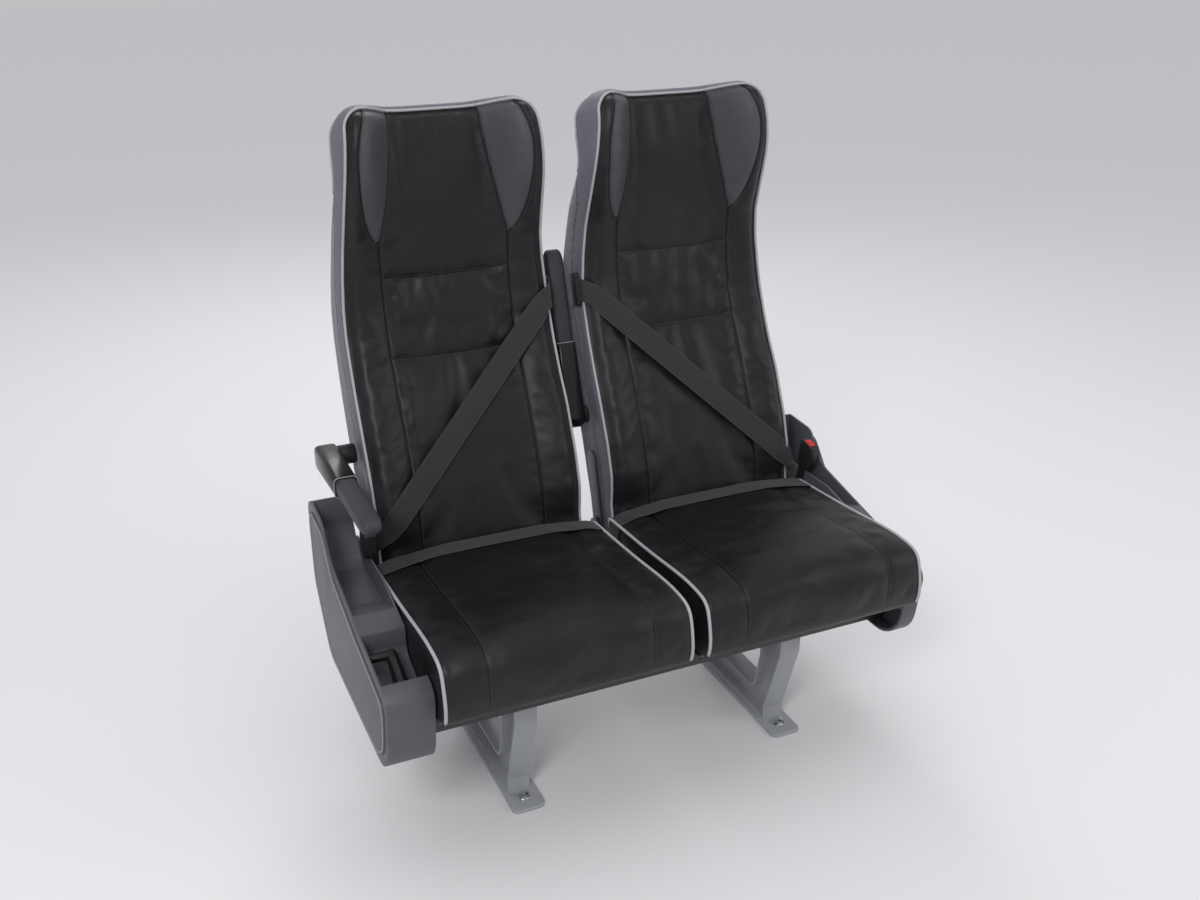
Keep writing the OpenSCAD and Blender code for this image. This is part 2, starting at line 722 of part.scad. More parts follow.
module back_frame_window() { seat(1) back_frame(); }

module back_pad_aisle() { seat(-1) back_pad(); }
module back_pad_window() { seat(1) back_pad(); }

// Pocket on the rear: a thin panel that stands off at its mouth, closed at its sides and bottom.
// Its open side follows the pad's rear, row by row
pocket_wall = 2.5;
pocket_foot = 8;
function pad_rear(s0, s1) =
    let(heights = [for (row = BACK) row[0] * back_len])
    let(between = [for (s = heights) if (s > s0 && s < s1) s])
    [for (s = concat(s0, between, s1)) [at(BACK, s / back_len, 4) + 2 + soft_gap, s]];

module pocket() {
    w = back_hw - pocket_in;
    mouth = pocket_s + pocket_h;
    face = pad_rear(pocket_s, mouth);
    hollow = pad_rear(pocket_s + 10, mouth + 1);
    foot = face[0][0] + pocket_foot;
    lip = face[len(face) - 1][0] + pocket_gap;
    color("#3a3c46")
        in_back()
        difference() {
            across(-w, w) polygon(concat(face, [[lip + pocket_wall, mouth], [foot, pocket_s]]));
            across(-w + pocket_wall, w - pocket_wall)
                polygon(concat(
                    [for (p = hollow) p - [1, 0]],
                    [[lip, mouth + 1], [foot - 2, pocket_s + 10]]
                ));
        }
}
module pocket_aisle() { seat(-1) pocket(); }
module pocket_window() { seat(1) pocket(); }

// Shoulder strap: a flat ribbon from the inner wing down across the back to the outer wing, laid
// on what stands out most under its width
strap_top = 0.55;
strap_low = crease_k + 0.0434;
// Height of the strap over the pad's face
strap_lift = 2.2;
module shoulder_strap() {
    lay = function(x, k) front_y(k, min(1, abs(x) / at(BACK, k, 1))) - soft_gap;
    crest = 0.86;
    reach = function(k, share) share * at(BACK, k, 1);
    // Columns are x outwards, place along the back, lift off the pad's face
    path = [
        [1 - reach(strap_top, 1), strap_top + 0.02, 1.5 * strap_lift],
        [-reach(strap_top, crest), strap_top, strap_lift],
        [reach(strap_low, crest), strap_low, strap_lift],
        [1 + reach(strap_low, 1), strap_low - 0.03, 1.2 * strap_lift],
    ];
    half = [0.62, 0.78 / back_len] * belt_w / 2;
    crown = function(p) min([for (j = [-1:0.25:1]) lay(p[0] + j * half[0], p[1] + j * half[1])]) - p[2];
    edge = function(p, way) [p[0] + way * half[0], crown(p), (p[1] + way * half[1]) * back_len];
    color("#161618")
        in_back()
        loft([for (p = path)
            let(a = edge(p, -1), b = edge(p, 1), t = [0, belt_t, 0])
            [a, b, b - t, a - t]]);
}
module shoulder_strap_aisle() { seat(-1) shoulder_strap(); }
module shoulder_strap_window() { seat(1) shoulder_strap(); }

// Belt guide on the back's inner side
guide_half = 34;
guide_front = -30;
guide_rear = 10;
guide_slot = 26;
guide_t = 8;
module belt_guide() {
    s = back_len * (strap_top + 0.03);
    x = at(BACK, (s - guide_half) / back_len, 1) + soft_gap;
    color("#1a1a1c")
        in_back()
        difference() {
            across(-x - guide_t, -x)
                polygon(round_outline([
                    [guide_front, s - guide_half, 6], [guide_front, s + guide_half, 6],
                    [guide_rear, s + guide_half, 6], [guide_rear, s - guide_half, 6],
                ]));
            across(-x - 4.5, -x - 2)
                translate([guide_front - 1, s - guide_slot])
                    square([guide_rear - guide_front - 5, 2 * guide_slot]);
        }
}
module belt_guide_aisle() { seat(-1) belt_guide(); }
module belt_guide_window() { seat(1) belt_guide(); }

// Armrest pivot: a boss on the back's side and a pin through the armrest's hub
aisle_arm_x = cover_x + aisle_cover_w / 2 - 6;
middle_arm_x = rail_x;
module arm_boss(x) {
    color("#1a1a1c")
        in_back() translate([0, arm_t, arm_s]) {
            rod_x(back_hw + soft_gap, x - arm_w / 2 - 1, boss_r);
            rod_x(x - arm_w / 2 - 1, x + arm_w / 2 - 6, arm_pin_r);
        }
}
module arm_boss_aisle() { seat(-1) arm_boss(aisle_arm_x); }
module arm_boss_middle() { seat(1) mirror([1, 0, 0]) arm_boss(middle_arm_x); }

// Armrest, lying forwards from its pivot: the hub is the rear part, the pad the front part
hub_share = 0.45;
module arm_place() {
    a = arm_t * cos(lean) + arm_s * sin(lean);
    b = arm_s * cos(lean) - arm_t * sin(lean);
    translate([0, hip_y + a, hip_z + b]) children();
}

// Rings of an armrest: columns are y from the pivot, half width, top and bottom over the pivot
module arm_body(rows, corner) {
    loft([
        for (row = rows)
            let(w = row[1], r = min(corner, w - 1, (row[2] - row[3]) / 2 - 0.5))
            [for (p = round_outline([[w, row[2], r], [-w, row[2], r], [-w, row[3], r], [w, row[3], r]], 4))
                [p[0], row[0], p[1]]]
    ], flat = true);
}

hub_end = -arm_len * hub_share;
module arm_hub() {
    r = arm_h / 2;
    side = function(a) arm_w / 2 - 7 * (1 - sin(a));
    rear = [for (a = [12, 26, 42, 60, 80]) [r * cos(a), side(a), r * sin(a), -r * sin(a)]];
    color("#101012")
        difference() {
            arm_body(concat(rear, [[0, arm_w / 2, r, -r], [0.4 * hub_end, arm_w / 2, r, 4 - r],
                                   [hub_end, arm_w / 2, r - 2, 9 - r]]), 9);
            rod_x(-arm_w, arm_w / 2 - 5.5, arm_pin_r + pin_gap);
        }
}

module arm_pad() {
    r = arm_h / 2;
    w = arm_w / 2 - arm_step;
    color("#2a2a2c")
        arm_body([
            [hub_end, w, r - 4, 11 - r], [0.7 * -arm_len, w, r - 3, 13 - r],
            [22 - arm_len, w, r - 4, 15 - r], [9 - arm_len, w - 1.5, r - 6, 18 - r],
            [3 - arm_len, w - 4, r - 10, 22 - r], [-arm_len, w - 8, r - 15, 28 - r],
        ], 10);
}

module place_aisle_arm() { seat(-1) translate([aisle_arm_x, 0, 0]) arm_place() children(); }

// The middle armrest is stored folded up along the back
module place_middle_arm() {
    seat(1) translate([-middle_arm_x, 0, 0]) arm_place()
        rotate([-90 - lean, 0, 0]) mirror([1, 0, 0]) children();
}
module arm_hub_aisle() { place_aisle_arm() arm_hub(); }
module arm_hub_middle() { place_middle_arm() arm_hub(); }
module arm_pad_aisle() { place_aisle_arm() arm_pad(); }
module arm_pad_middle() { place_middle_arm() arm_pad(); }

front_beam();
rear_beam();
leg_aisle();
leg_window();
carrier_aisle();
carrier_middle();
carrier_window();
seat(-1) pan();  // pan_aisle
seat(1) pan();  // pan_window
seat(-1) cushion();  // cushion_aisle
seat(1) cushion();  // cushion_window
side_cover_aisle();
side_cover_window();
lever_aisle();
lever_window();
buckle_aisle();
buckle_window();
button_aisle();
button_window();
lap_strap_aisle();
lap_strap_window();
spring_cylinder_aisle();
spring_cylinder_window();
spring_rod_aisle();
spring_rod_window();
back_frame_aisle();
back_frame_window();
back_pad_aisle();
back_pad_window();
pocket_aisle();
pocket_window();
shoulder_strap_aisle();
shoulder_strap_window();
belt_guide_aisle();
belt_guide_window();
arm_boss_aisle();
arm_boss_middle();
arm_hub_aisle();
arm_hub_middle();
arm_pad_aisle();
arm_pad_middle();
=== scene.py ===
# Coach double seat: leather, mouldings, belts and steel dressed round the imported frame.
import json
import math

import bmesh
import bpy
import numpy as np
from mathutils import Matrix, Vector


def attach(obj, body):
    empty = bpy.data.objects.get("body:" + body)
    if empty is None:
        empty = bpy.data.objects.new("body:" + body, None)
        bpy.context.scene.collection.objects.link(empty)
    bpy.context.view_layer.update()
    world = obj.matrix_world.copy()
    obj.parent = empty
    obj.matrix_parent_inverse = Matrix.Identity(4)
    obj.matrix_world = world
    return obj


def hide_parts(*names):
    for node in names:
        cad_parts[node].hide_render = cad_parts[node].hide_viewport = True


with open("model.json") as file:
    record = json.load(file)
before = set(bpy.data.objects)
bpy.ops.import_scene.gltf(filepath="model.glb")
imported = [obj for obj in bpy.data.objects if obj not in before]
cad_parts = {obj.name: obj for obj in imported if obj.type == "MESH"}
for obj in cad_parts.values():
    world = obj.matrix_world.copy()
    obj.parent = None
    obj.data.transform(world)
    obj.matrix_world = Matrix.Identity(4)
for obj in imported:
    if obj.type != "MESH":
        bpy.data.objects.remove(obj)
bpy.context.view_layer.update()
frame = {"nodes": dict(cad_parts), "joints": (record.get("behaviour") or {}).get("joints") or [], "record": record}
mm = 0.001
print("frame loaded")

# From the frame: the hinge of the window back, and the body and material slot of each node
hinge = next(joint for joint in frame["joints"] if joint["name"] == "recline_window")
railX, hipY, hipZ = hinge["pos_m"]  # railX is the middle of a seat, outwards from the middle of the pair
bodyOf = {node: body for body, nodes in frame["record"]["behaviour"]["bodies"].items() for node in nodes}
slotOf = {part["node"]: part["material_slot"] for part in frame["record"]["subparts"]}
lean = math.radians(16)  # of an upright back
sides = {"aisle": -1, "window": 1}
weld = 0.02 * mm  # points nearer than this are one
nodeWeld = 0.01 * mm


# Shared shapes


# A step from 0 to 1 between low and high with flat ends: q * q * (3 - 2q)
def softStep(low, high, value):
    q = np.clip((value - low) / (high - low), 0, 1)
    return q * q * (3 - 2 * q)


# A line of values averaged over a round-topped window, its end values held beyond its ends
def averaged(line, half):
    window = np.hanning(2 * half + 3)[1:-1]
    return np.convolve(np.pad(line, half, mode="edge"), window / window.sum(), mode="valid")


# A column of a short table as a smooth curve: straight lines between its points, then a moving average
def softCurve(place, values, blur):
    past, count = 0.2, 1601
    fine = np.linspace(place[0] - past, place[-1] + past, count)
    half = max(1, int(blur / (fine[1] - fine[0]) / 2))
    curve = averaged(np.interp(fine, place, values), half)
    return lambda at: np.interp(at, fine, curve)


# Points given along a seat's back: x outwards, s up the back from the hip, t to the rear
def backToWorld(side, x, s, t):
    return np.stack([
        side * (railX + x) + 0 * s,
        hipY + s * math.sin(lean) + t * math.cos(lean) + 0 * x,
        hipZ + s * math.cos(lean) - t * math.sin(lean) + 0 * x,
    ], axis=-1)


# A direction given the same way
def backWay(side, x, s, t):
    return backToWorld(side, x, s, t) - backToWorld(side, 0.0, 0.0, 0.0)


# Arrays of one shape as rows of points
def asRows(*axes):
    return np.stack(axes, -1).reshape(-1, len(axes))


# Quads of a grid of rows by columns, wrapping round where a direction is closed
def gridFaces(rows, cols, closeRows=False, closeCols=False):
    r = np.arange(rows if closeRows else rows - 1)[:, None]
    c = np.arange(cols if closeCols else cols - 1)[None, :]
    r2, c2 = (r + 1) % rows, (c + 1) % cols
    return np.stack([r * cols + c, r * cols + c2, r2 * cols + c2, r2 * cols + c], axis=-1).reshape(-1, 4)


# A grid's border as one run: along the first row, up the last column, back along the last row and down
def borderOf(grid):
    return np.concatenate([grid[0, :-1], grid[:-1, -1], grid[-1, :0:-1], grid[:0:-1, 0]])


# An object made from its data and put in the scene
def linked(name, data):
    made = bpy.data.objects.new(name, data)
    bpy.context.scene.collection.objects.link(made)
    return made


# One mesh object from patches of (points, quads, material number), doubles merged and normals outwards
def buildPiece(name, patches, materials, uv=None, sharpAngle=None):
    points = np.concatenate([p for p, _, _ in patches])
    starts = np.cumsum([0] + [len(p) for p, _, _ in patches[:-1]])
    quads = np.concatenate([q + start for (_, q, _), start in zip(patches, starts)])
    slots = np.concatenate([np.full(len(q), m) for _, q, m in patches])
    mesh = bpy.data.meshes.new(name)
    mesh.from_pydata(points.tolist(), [], quads.tolist())
    mesh.polygons.foreach_set("material_index", slots.astype(np.int32))
    if uv is not None:
        layer = mesh.uv_layers.new(name="UVMap")
        corner = np.zeros(len(mesh.loops), np.int32)
        mesh.loops.foreach_get("vertex_index", corner)
        layer.data.foreach_set("uv", uv[corner].astype(np.float32).ravel())
    shape = bmesh.new()
    shape.from_mesh(mesh)
    bmesh.ops.remove_doubles(shape, verts=shape.verts, dist=weld)
    bmesh.ops.recalc_face_normals(shape, faces=shape.faces)
    shape.to_mesh(mesh)
    shape.free()
    mesh.polygons.foreach_set("use_smooth", np.ones(len(mesh.polygons), bool))
    if sharpAngle is not None:
        mesh.set_sharp_from_angle(angle=math.radians(sharpAngle))
    for material in materials:
        mesh.materials.append(material)
    return linked(name, mesh)


# Vectors brought to length 1
def unit(v):
    return v / np.maximum(np.linalg.norm(v, axis=-1, keepdims=True), 1e-12)


# How far along a polyline each of its points is
def arcLength(points):
    return np.concatenate([[0], np.cumsum(np.linalg.norm(np.diff(points, axis=0), axis=1))])


# The direction square to a closed outline at each point, a quarter turn to the left of the way along it
def leftOf(outline, reach=1):
    ahead = unit(np.roll(outline, -reach, 0) - np.roll(outline, reach, 0))
    return np.stack([-ahead[:, 1], ahead[:, 0]], -1)


# A round section: cosine and sine times the radius
def roundSection(radius, count):
    a = np.arange(count) * 2 * math.pi / count
    return np.stack([np.cos(a), np.sin(a)], -1) * radius


# A flat section with round edges: cosine and sine raised to a power below 1, which fills its corners
def flatSection(halfWidth, halfThick, count, power):
    a = np.arange(count) * 2 * math.pi / count
    x, y = (np.sign(wave) * np.abs(wave) ** power for wave in (np.cos(a), np.sin(a)))
    return np.stack([x * halfWidth, y * halfThick], -1)


# A closed section carried along a path: each path point adds section x its side vector + y its up vector.
# The two end rings shrink to a point, so the tube is closed.
def sweep(path, sideways, upwards, section, closed=False):
    across = section[None, :, 0:1] * sideways[:, None]
    up = section[None, :, 1:2] * upwards[:, None]
    rings = path[:, None] + across + up
    if not closed:
        start, end = (np.repeat(point[None, None], len(section), 1) for point in (path[0], path[-1]))
        rings = np.concatenate([start, rings, end])
    return rings.reshape(-1, 3), gridFaces(len(rings), len(section), closeRows=closed, closeCols=True)


# A tube whose side vector is the path's direction crossed with a fixed reference direction
def tube(path, radius, reference, count=10, closed=False):
    if closed:
        along = unit(np.roll(path, -1, 0) - np.roll(path, 1, 0))
    else:
        along = unit(np.gradient(path, axis=0))
    sideways = unit(np.cross(along, np.asarray(reference, float)))
    return sweep(path, sideways, np.cross(sideways, along), roundSection(radius, count), closed)


# Even spacing along a polyline, by its arc length
def evenPath(points, count):
    run = arcLength(points)
    at = np.linspace(0, run[-1], count)
    return np.stack([np.interp(at, run, points[:, i]) for i in range(points.shape[1])], -1)


# A polyline with its corners rounded: each pass cuts every stretch at its quarter and three quarters
def roundedPath(points, count, passes=3):
    points = np.asarray(points, float)
    for _ in range(passes):
        a, b = points[:-1] * 0.75 + points[1:] * 0.25, points[:-1] * 0.25 + points[1:] * 0.75
        between = np.stack([a, b], 1).reshape(-1, points.shape[1])
        points = np.concatenate([points[:1], between, points[-1:]])
    return evenPath(points, count)


# Leather as cloth
skinCloth = dict(
    quality=6, mass=0.25, stretch=20, bend=20, pressure=4, frames=20,
    excess=0.02,  # how much too large the skin is for its seams
    broad=9,  # half width, in grid points, of the window that parts the swelling from the folds
)


# A grid of points as a skin that is a little too large for its seams: held where asked, blown outwards,
# stepped frame by frame and read back as how far each point moved along a direction. The broad swelling
# and the folds on it are capped apart, the folds also scaled by calm.
def skinMove(points, held, way, swellCap, foldCap, calm):
    mesh = bpy.data.meshes.new("skin")
    mesh.from_pydata(points.reshape(-1, 3).tolist(), [], gridFaces(*held.shape).tolist())
    skin = linked("skin", mesh)
    skin.vertex_groups.new(name="held").add(np.flatnonzero(held).tolist(), 1.0, "REPLACE")
    cloth = skin.modifiers.new("cloth", "CLOTH")
    cloth.settings.quality = skinCloth["quality"]
    cloth.settings.mass = skinCloth["mass"]
    cloth.settings.tension_stiffness = skinCloth["stretch"]
    cloth.settings.compression_stiffness = skinCloth["stretch"]
    cloth.settings.bending_stiffness = skinCloth["bend"]
    cloth.settings.vertex_group_mass = "held"
    cloth.settings.effector_weights.gravity = 0
    cloth.settings.use_pressure = True
    cloth.settings.uniform_pressure_force = skinCloth["pressure"]
    cloth.settings.shrink_min = -skinCloth["excess"]
    cloth.collision_settings.use_collision = False
    cloth.point_cache.frame_start, cloth.point_cache.frame_end = 1, skinCloth["frames"]
    for step in range(1, skinCloth["frames"] + 1):
        bpy.context.scene.frame_set(step)
    settled = skin.evaluated_get(bpy.context.evaluated_depsgraph_get()).data
    after = np.zeros(points.size, np.float32)
    settled.vertices.foreach_get("co", after)
    bpy.data.objects.remove(skin)
    bpy.data.meshes.remove(mesh)
    bpy.context.scene.frame_set(1)
    move = ((after.reshape(points.shape) - points) * way).sum(-1)
    swell = blurred(move, skinCloth["broad"])
    fold = move - swell
    most = [np.abs(swell).max(), np.percentile(np.abs(fold), 99)]
    print("  skin swelled %.1f mm, folds %.1f mm before the caps" % tuple(size / mm for size in most))
    return swellCap * np.tanh(swell / swellCap) + foldCap * np.tanh(fold / foldCap) * calm


# A grid averaged down its columns and then along its rows
def blurred(field, half):
    for axis in (0, 1):
        field = np.apply_along_axis(averaged, axis, field, half)
    return field


# A field known on a grid of row and column places, read at other rows and columns
def regrid(field, rowsAt, colsAt, rowsTo, colsTo):
    tall = np.stack([np.interp(rowsTo, rowsAt, field[:, c]) for c in range(field.shape[1])], 1)
    return np.stack([np.interp(colsTo, colsAt, tall[r]) for r in range(tall.shape[0])], 0)


# The same field read at scattered places, between its four nearest grid points
def readGrid(field, rowsAt, colsAt, row, col):
    i = np.clip(np.searchsorted(rowsAt, row) - 1, 0, len(rowsAt) - 2)
    j = np.clip(np.searchsorted(colsAt, col) - 1, 0, len(colsAt) - 2)
    a = np.clip((row - rowsAt[i]) / (rowsAt[i + 1] - rowsAt[i]), 0, 1)
    b = np.clip((col - colsAt[j]) / (colsAt[j + 1] - colsAt[j]), 0, 1)
    low = field[i, j] * (1 - b) + field[i, j + 1] * b
    high = field[i + 1, j] * (1 - b) + field[i + 1, j + 1] * b
    return low * (1 - a) + high * a


# Sizes of the upholstery, which the seams in its leather also read
back = dict(
    length=865 * mm,
    # The back's form up its length, as shares of the length and mm
    place=[-0.023, 0.0, 0.04, 0.07, 0.10, 0.14, 0.22, 0.33, 0.40, 0.47, 0.54, 0.60, 0.66, 0.72, 0.77, 0.815,
           0.85, 0.88, 0.92, 0.955, 0.98, 1.0],
    halfWidth=[210, 210, 210, 210, 210, 210, 210, 210, 209, 208, 207, 205, 201, 197, 195, 193.5, 192, 190,
               187, 184, 182, 181],
    front=[62, 70, 74, 74, 74, 73, 68, 56, 45, 35, 30, 32, 39, 50, 62, 73, 80, 85, 89, 91, 93, 95],
    wing=[0, 0, 0, 1, 11, 21, 24, 21, 18, 17, 17, 18, 20, 27, 42, 57, 69, 76, 82, 81, 73, 60],
    rear=[40, 44, 46, 48, 50, 53, 58, 69, 77, 82, 83, 78, 67, 45, 21, -15, -43, -46, -38, -36, -38, -44],
    bulge=[0, 0, 0, 0, 0, 0, 0, 1, 1, 1, 1, 1, 2, 3, 4, 5, 6, 6, 6, 5, 4, 3],
    blur=0.04, neckS=728 * mm,
    # The front's edge: round corners, and how far the leather rolls to the rear there
    cornerRadius=36 * mm, lowRadius=26 * mm, ear=2 * mm, edgeInset=5 * mm, wingFrom=0.40, rollFrom=0.86,
    edgeRoll=13 * mm, endRoll=12 * mm, crownReach=22 * mm, lowReach=30 * mm,
    # Grid: rows up the straight stretch, columns over shares of the half width, rings of strip and rear
    rows=210, cornerRows=15, columns=[(0, 0.48, 16), (0.48, 0.90, 44), (0.90, 1, 9)], stripCount=14,
    rearRings=14, rearCorner=16 * mm, cornerShare=0.30, rearShrink=450 * mm,
    # Seams: two upright ones, two level ones down from the top that sag, and the insert's pair
    seamX=126 * mm, seams=[297 * mm, 448 * mm], seamSag=5 * mm, seamDepth=2.9 * mm, seamWidth=2.0 * mm,
    puff=4.4 * mm, puffReach=15 * mm, insertTopX=87 * mm, insertOuterX=141 * mm, insertWide=24 * mm,
    insertLow=233 * mm, insertTip=4 * mm, insertBend=1.75, insertTurn=0.45,
    innerSlant=0.97, outerSlant=0.8,  # cosines that turn a distance across into one square to the seam
    # The side: leather's thickness, and the groove between smooth leather and velour
    sideBand=43 * mm, sideSkin=5 * mm, crownBulge=4 * mm, groove=1.6 * mm, grooveWidth=2.2 * mm,
    headBand=0.965, neckBelow=62 * mm, neckAbove=4 * mm,
    pipingRadius=2.7 * mm, pipingProud=2 * mm, pipingBack=0.5 * mm, headPiping=0.85, pipingOpen=8,
    mapAside=0.3,  # keeps the side's map clear of the front's
)
back["lowS"] = back["place"][0] * back["length"]
cushion = dict(
    width=455 * mm, length=440 * mm, crest=450 * mm, drop=28 * mm, low=317 * mm, crown=9 * mm,
    around=190, across=90, edgeInset=4 * mm, upperBlend=30 * mm, endRings=16, endBow=7 * mm,
    seamX=150 * mm, seamDepth=2.4 * mm, seamWidth=2.6 * mm, puff=5 * mm, puffReach=22 * mm, slack=0.7 * mm,
    pipingRadius=3.1 * mm, pipingProud=1.5 * mm, creaseGap=2.2 * mm, lumbar=75 * mm, mapAside=0.4,
)


# Shader writing


# A shader socket that takes part in Python sums: each operator adds a Math node
class Wire:
    def __init__(self, writer, socket):
        self.writer, self.socket = writer, socket

    def math(self, operation, *others):
        return self.writer.math(operation, self, *others)

    def __add__(self, other):
        return self.math("ADD", other)

    def __sub__(self, other):
        return self.math("SUBTRACT", other)

    def __rsub__(self, other):
        return self.writer.math("SUBTRACT", other, self)

    def __mul__(self, other):
        return self.math("MULTIPLY", other)

    def __truediv__(self, other):
        return self.math("DIVIDE", other)

    def __rtruediv__(self, other):
        return self.writer.math("DIVIDE", other, self)

    def __pow__(self, other):
        return self.math("POWER", other)

    def __abs__(self):
        return self.math("ABSOLUTE")

    __radd__, __rmul__ = __add__, __mul__  # a sum or a product is the same from either end

    def sine(self):
        return self.math("SINE")

    def low(self, other):
        return self.math("MINIMUM", other)

    def high(self, other):
        return self.math("MAXIMUM", other)

    # 0 below low, 1 above high, soft between
    def rise(self, low, high):
        settings = {"interpolation_type": "SMOOTHSTEP"}
        return self.writer.node("ShaderNodeMapRange", settings, {0: self, 1: low, 2: high, 3: 0.0, 4: 1.0})


# A node tree to write in
class NodeWriter:
    def __init__(self, tree):
        self.tree = tree

    # Any node: its type, its settings, its sockets by name or number, and which output is wanted
    def node(self, kind, settings=None, inputs=None, out=0):
        made = self.tree.nodes.new(kind)
        for key, value in (settings or {}).items():
            setattr(made, key, value)
        for key, value in (inputs or {}).items():
            self.feed(made.inputs[key], value)
        return Wire(self, made.outputs[out])

    def feed(self, socket, value):
        if isinstance(value, Wire):
            self.tree.links.new(value.socket, socket)
        elif hasattr(value, "__len__") and socket.type == "RGBA":
            socket.default_value = (*value, 1)[:4]
        else:
            socket.default_value = value

    def math(self, operation, *values):
        return self.node("ShaderNodeMath", {"operation": operation}, dict(enumerate(values)))

    def split(self, vector):
        made = self.node("ShaderNodeSeparateXYZ", None, {0: vector}).socket.node
        return [Wire(self, made.outputs[i]) for i in range(3)]


# A new material with one Principled shader, written on Object coordinates
class Shade(NodeWriter):
    def __init__(self, name):
        self.material = bpy.data.materials.new(name)
        self.material.use_nodes = True
        super().__init__(self.material.node_tree)
        self.tree.nodes.clear()
        self.surface = self.tree.nodes.new("ShaderNodeBsdfPrincipled")
        output = self.tree.nodes.new("ShaderNodeOutputMaterial")
        self.tree.links.new(self.surface.outputs[0], output.inputs[0])
        self.place = self.node("ShaderNodeTexCoord", out="Object")

    def mix(self, factor, a, b):
        return self.node("ShaderNodeMix", {"data_type": "RGBA"}, {0: factor, 6: a, 7: b}, out=2)

    def noise(self, scale, detail=3.0, rough=0.55):
        inputs = {"Vector": self.place, "Scale": scale, "Detail": detail, "Roughness": rough}
        return self.node("ShaderNodeTexNoise", None, inputs)

    def cells(self, scale, feature="F1", out="Distance"):
        inputs = {"Vector": self.place, "Scale": scale}
        return self.node("ShaderNodeTexVoronoi", {"feature": feature}, inputs, out)

    # The piece's own map: across and along in metres
    def map(self):
        return self.split(self.node("ShaderNodeUVMap", {"uv_map": "UVMap"}))[:2]

    def bump(self, height, strength, distance, normal=None):
        inputs = {"Height": height, "Strength": strength, "Distance": distance}
        if normal:
            inputs["Normal"] = normal
        return self.node("ShaderNodeBump", None, inputs)

    def finish(self, **sockets):
        names = {"colour": "Base Color", "rough": "Roughness", "metal": "Metallic", "coat": "Coat Weight",
                 "coatRough": "Coat Roughness", "normal": "Normal", "sheen": "Sheen Weight",
                 "sheenRough": "Sheen Roughness", "specular": "Specular IOR Level"}
        for key, value in sockets.items():
            self.feed(self.surface.inputs[names[key]], value)
        return self.material


# A colour made darker or paler: each part times a factor, plus a little, and at most 1
def scaled(colour, times, plus=0.0):
    return tuple(min(1, part * times + plus) for part in colour)


# Materials
leatherLook = dict(
    black=(0.0085, 0.0085, 0.0100), worn=(0.022, 0.0215, 0.023), insert=(0.070, 0.070, 0.078),
    insertWorn=(0.105, 0.104, 0.112), side=(0.150, 0.153, 0.182), sideWorn=(0.205, 0.208, 0.236),
    piping=(0.43, 0.43, 0.45), pipingWorn=(0.52, 0.52, 0.53), thread=(0.060, 0.060, 0.066),
    grain=620, coarseGrain=0.42, grainHeight=0.16 * mm, creases=26, creaseHeight=1.0 * mm,
    seamHalf=(0.5 * mm, 2.0 * mm), seamHeight=0.6 * mm, specular=0.34,
)
stitch = dict(off=3.2 * mm, half=(0.2 * mm, 0.6 * mm), turn=1396)  # turn in radians a metre: 4.5 mm a stitch


# The seams of a back drawn from its map of (across, up the back): distance to the nearest seam, and two rows
# of stitches beside each, dashed along it. The insert's lines are those of insertLines.
def backSeams(shade):
    across, up = shade.map()
    x, down = abs(across), back["length"] - up
    q = (down / back["insertLow"]).high(0.0).low(1.0)
    inner = back["insertTopX"] + (back["seamX"] - back["insertTopX"]) * q ** back["insertBend"]
    tip = ((q - back["insertTurn"]) / (1 - back["insertTurn"])).high(0.0)
    bow = ((q / back["insertTurn"]).low(1.0) * (math.pi / 2)).sine()
    wide = back["insertOuterX"] + back["insertWide"] * bow
    outer = back["seamX"] + (wide - back["seamX"]) * (1 - tip * tip).high(0.0) ** 0.5
    below = down.rise(back["insertLow"], back["insertLow"] + back["insertTip"])
    upright = (abs(x - inner) * back["innerSlant"]).low(abs(x - outer) * back["outerSlant"] + below)
    share = x / back["seamX"]
    sag = back["seamSag"] * (1 - share * share)
    beyond = (x - inner).rise(-1 * mm, 1 * mm)
    first, second = (abs(down - seam - sag) + beyond for seam in back["seams"])
    level = first.low(second)
    return upright.low(level), stitchRow(upright, up).high(stitchRow(level, across))


# The two long seams of a cushion: distance to the nearer one, and the stitches beside it
def cushionSeams(shade):
    across, along = shade.map()
    gap = abs(abs(across) - cushion["seamX"])
    return gap, stitchRow(gap, along)


# 1 on the threads of a row beside a seam, dashed by a sine along it
def stitchRow(gap, along):
    thread = 1 - abs(gap - stitch["off"]).rise(*stitch["half"])
    return thread * (along * stitch["turn"]).sine().rise(-0.6, -0.2)


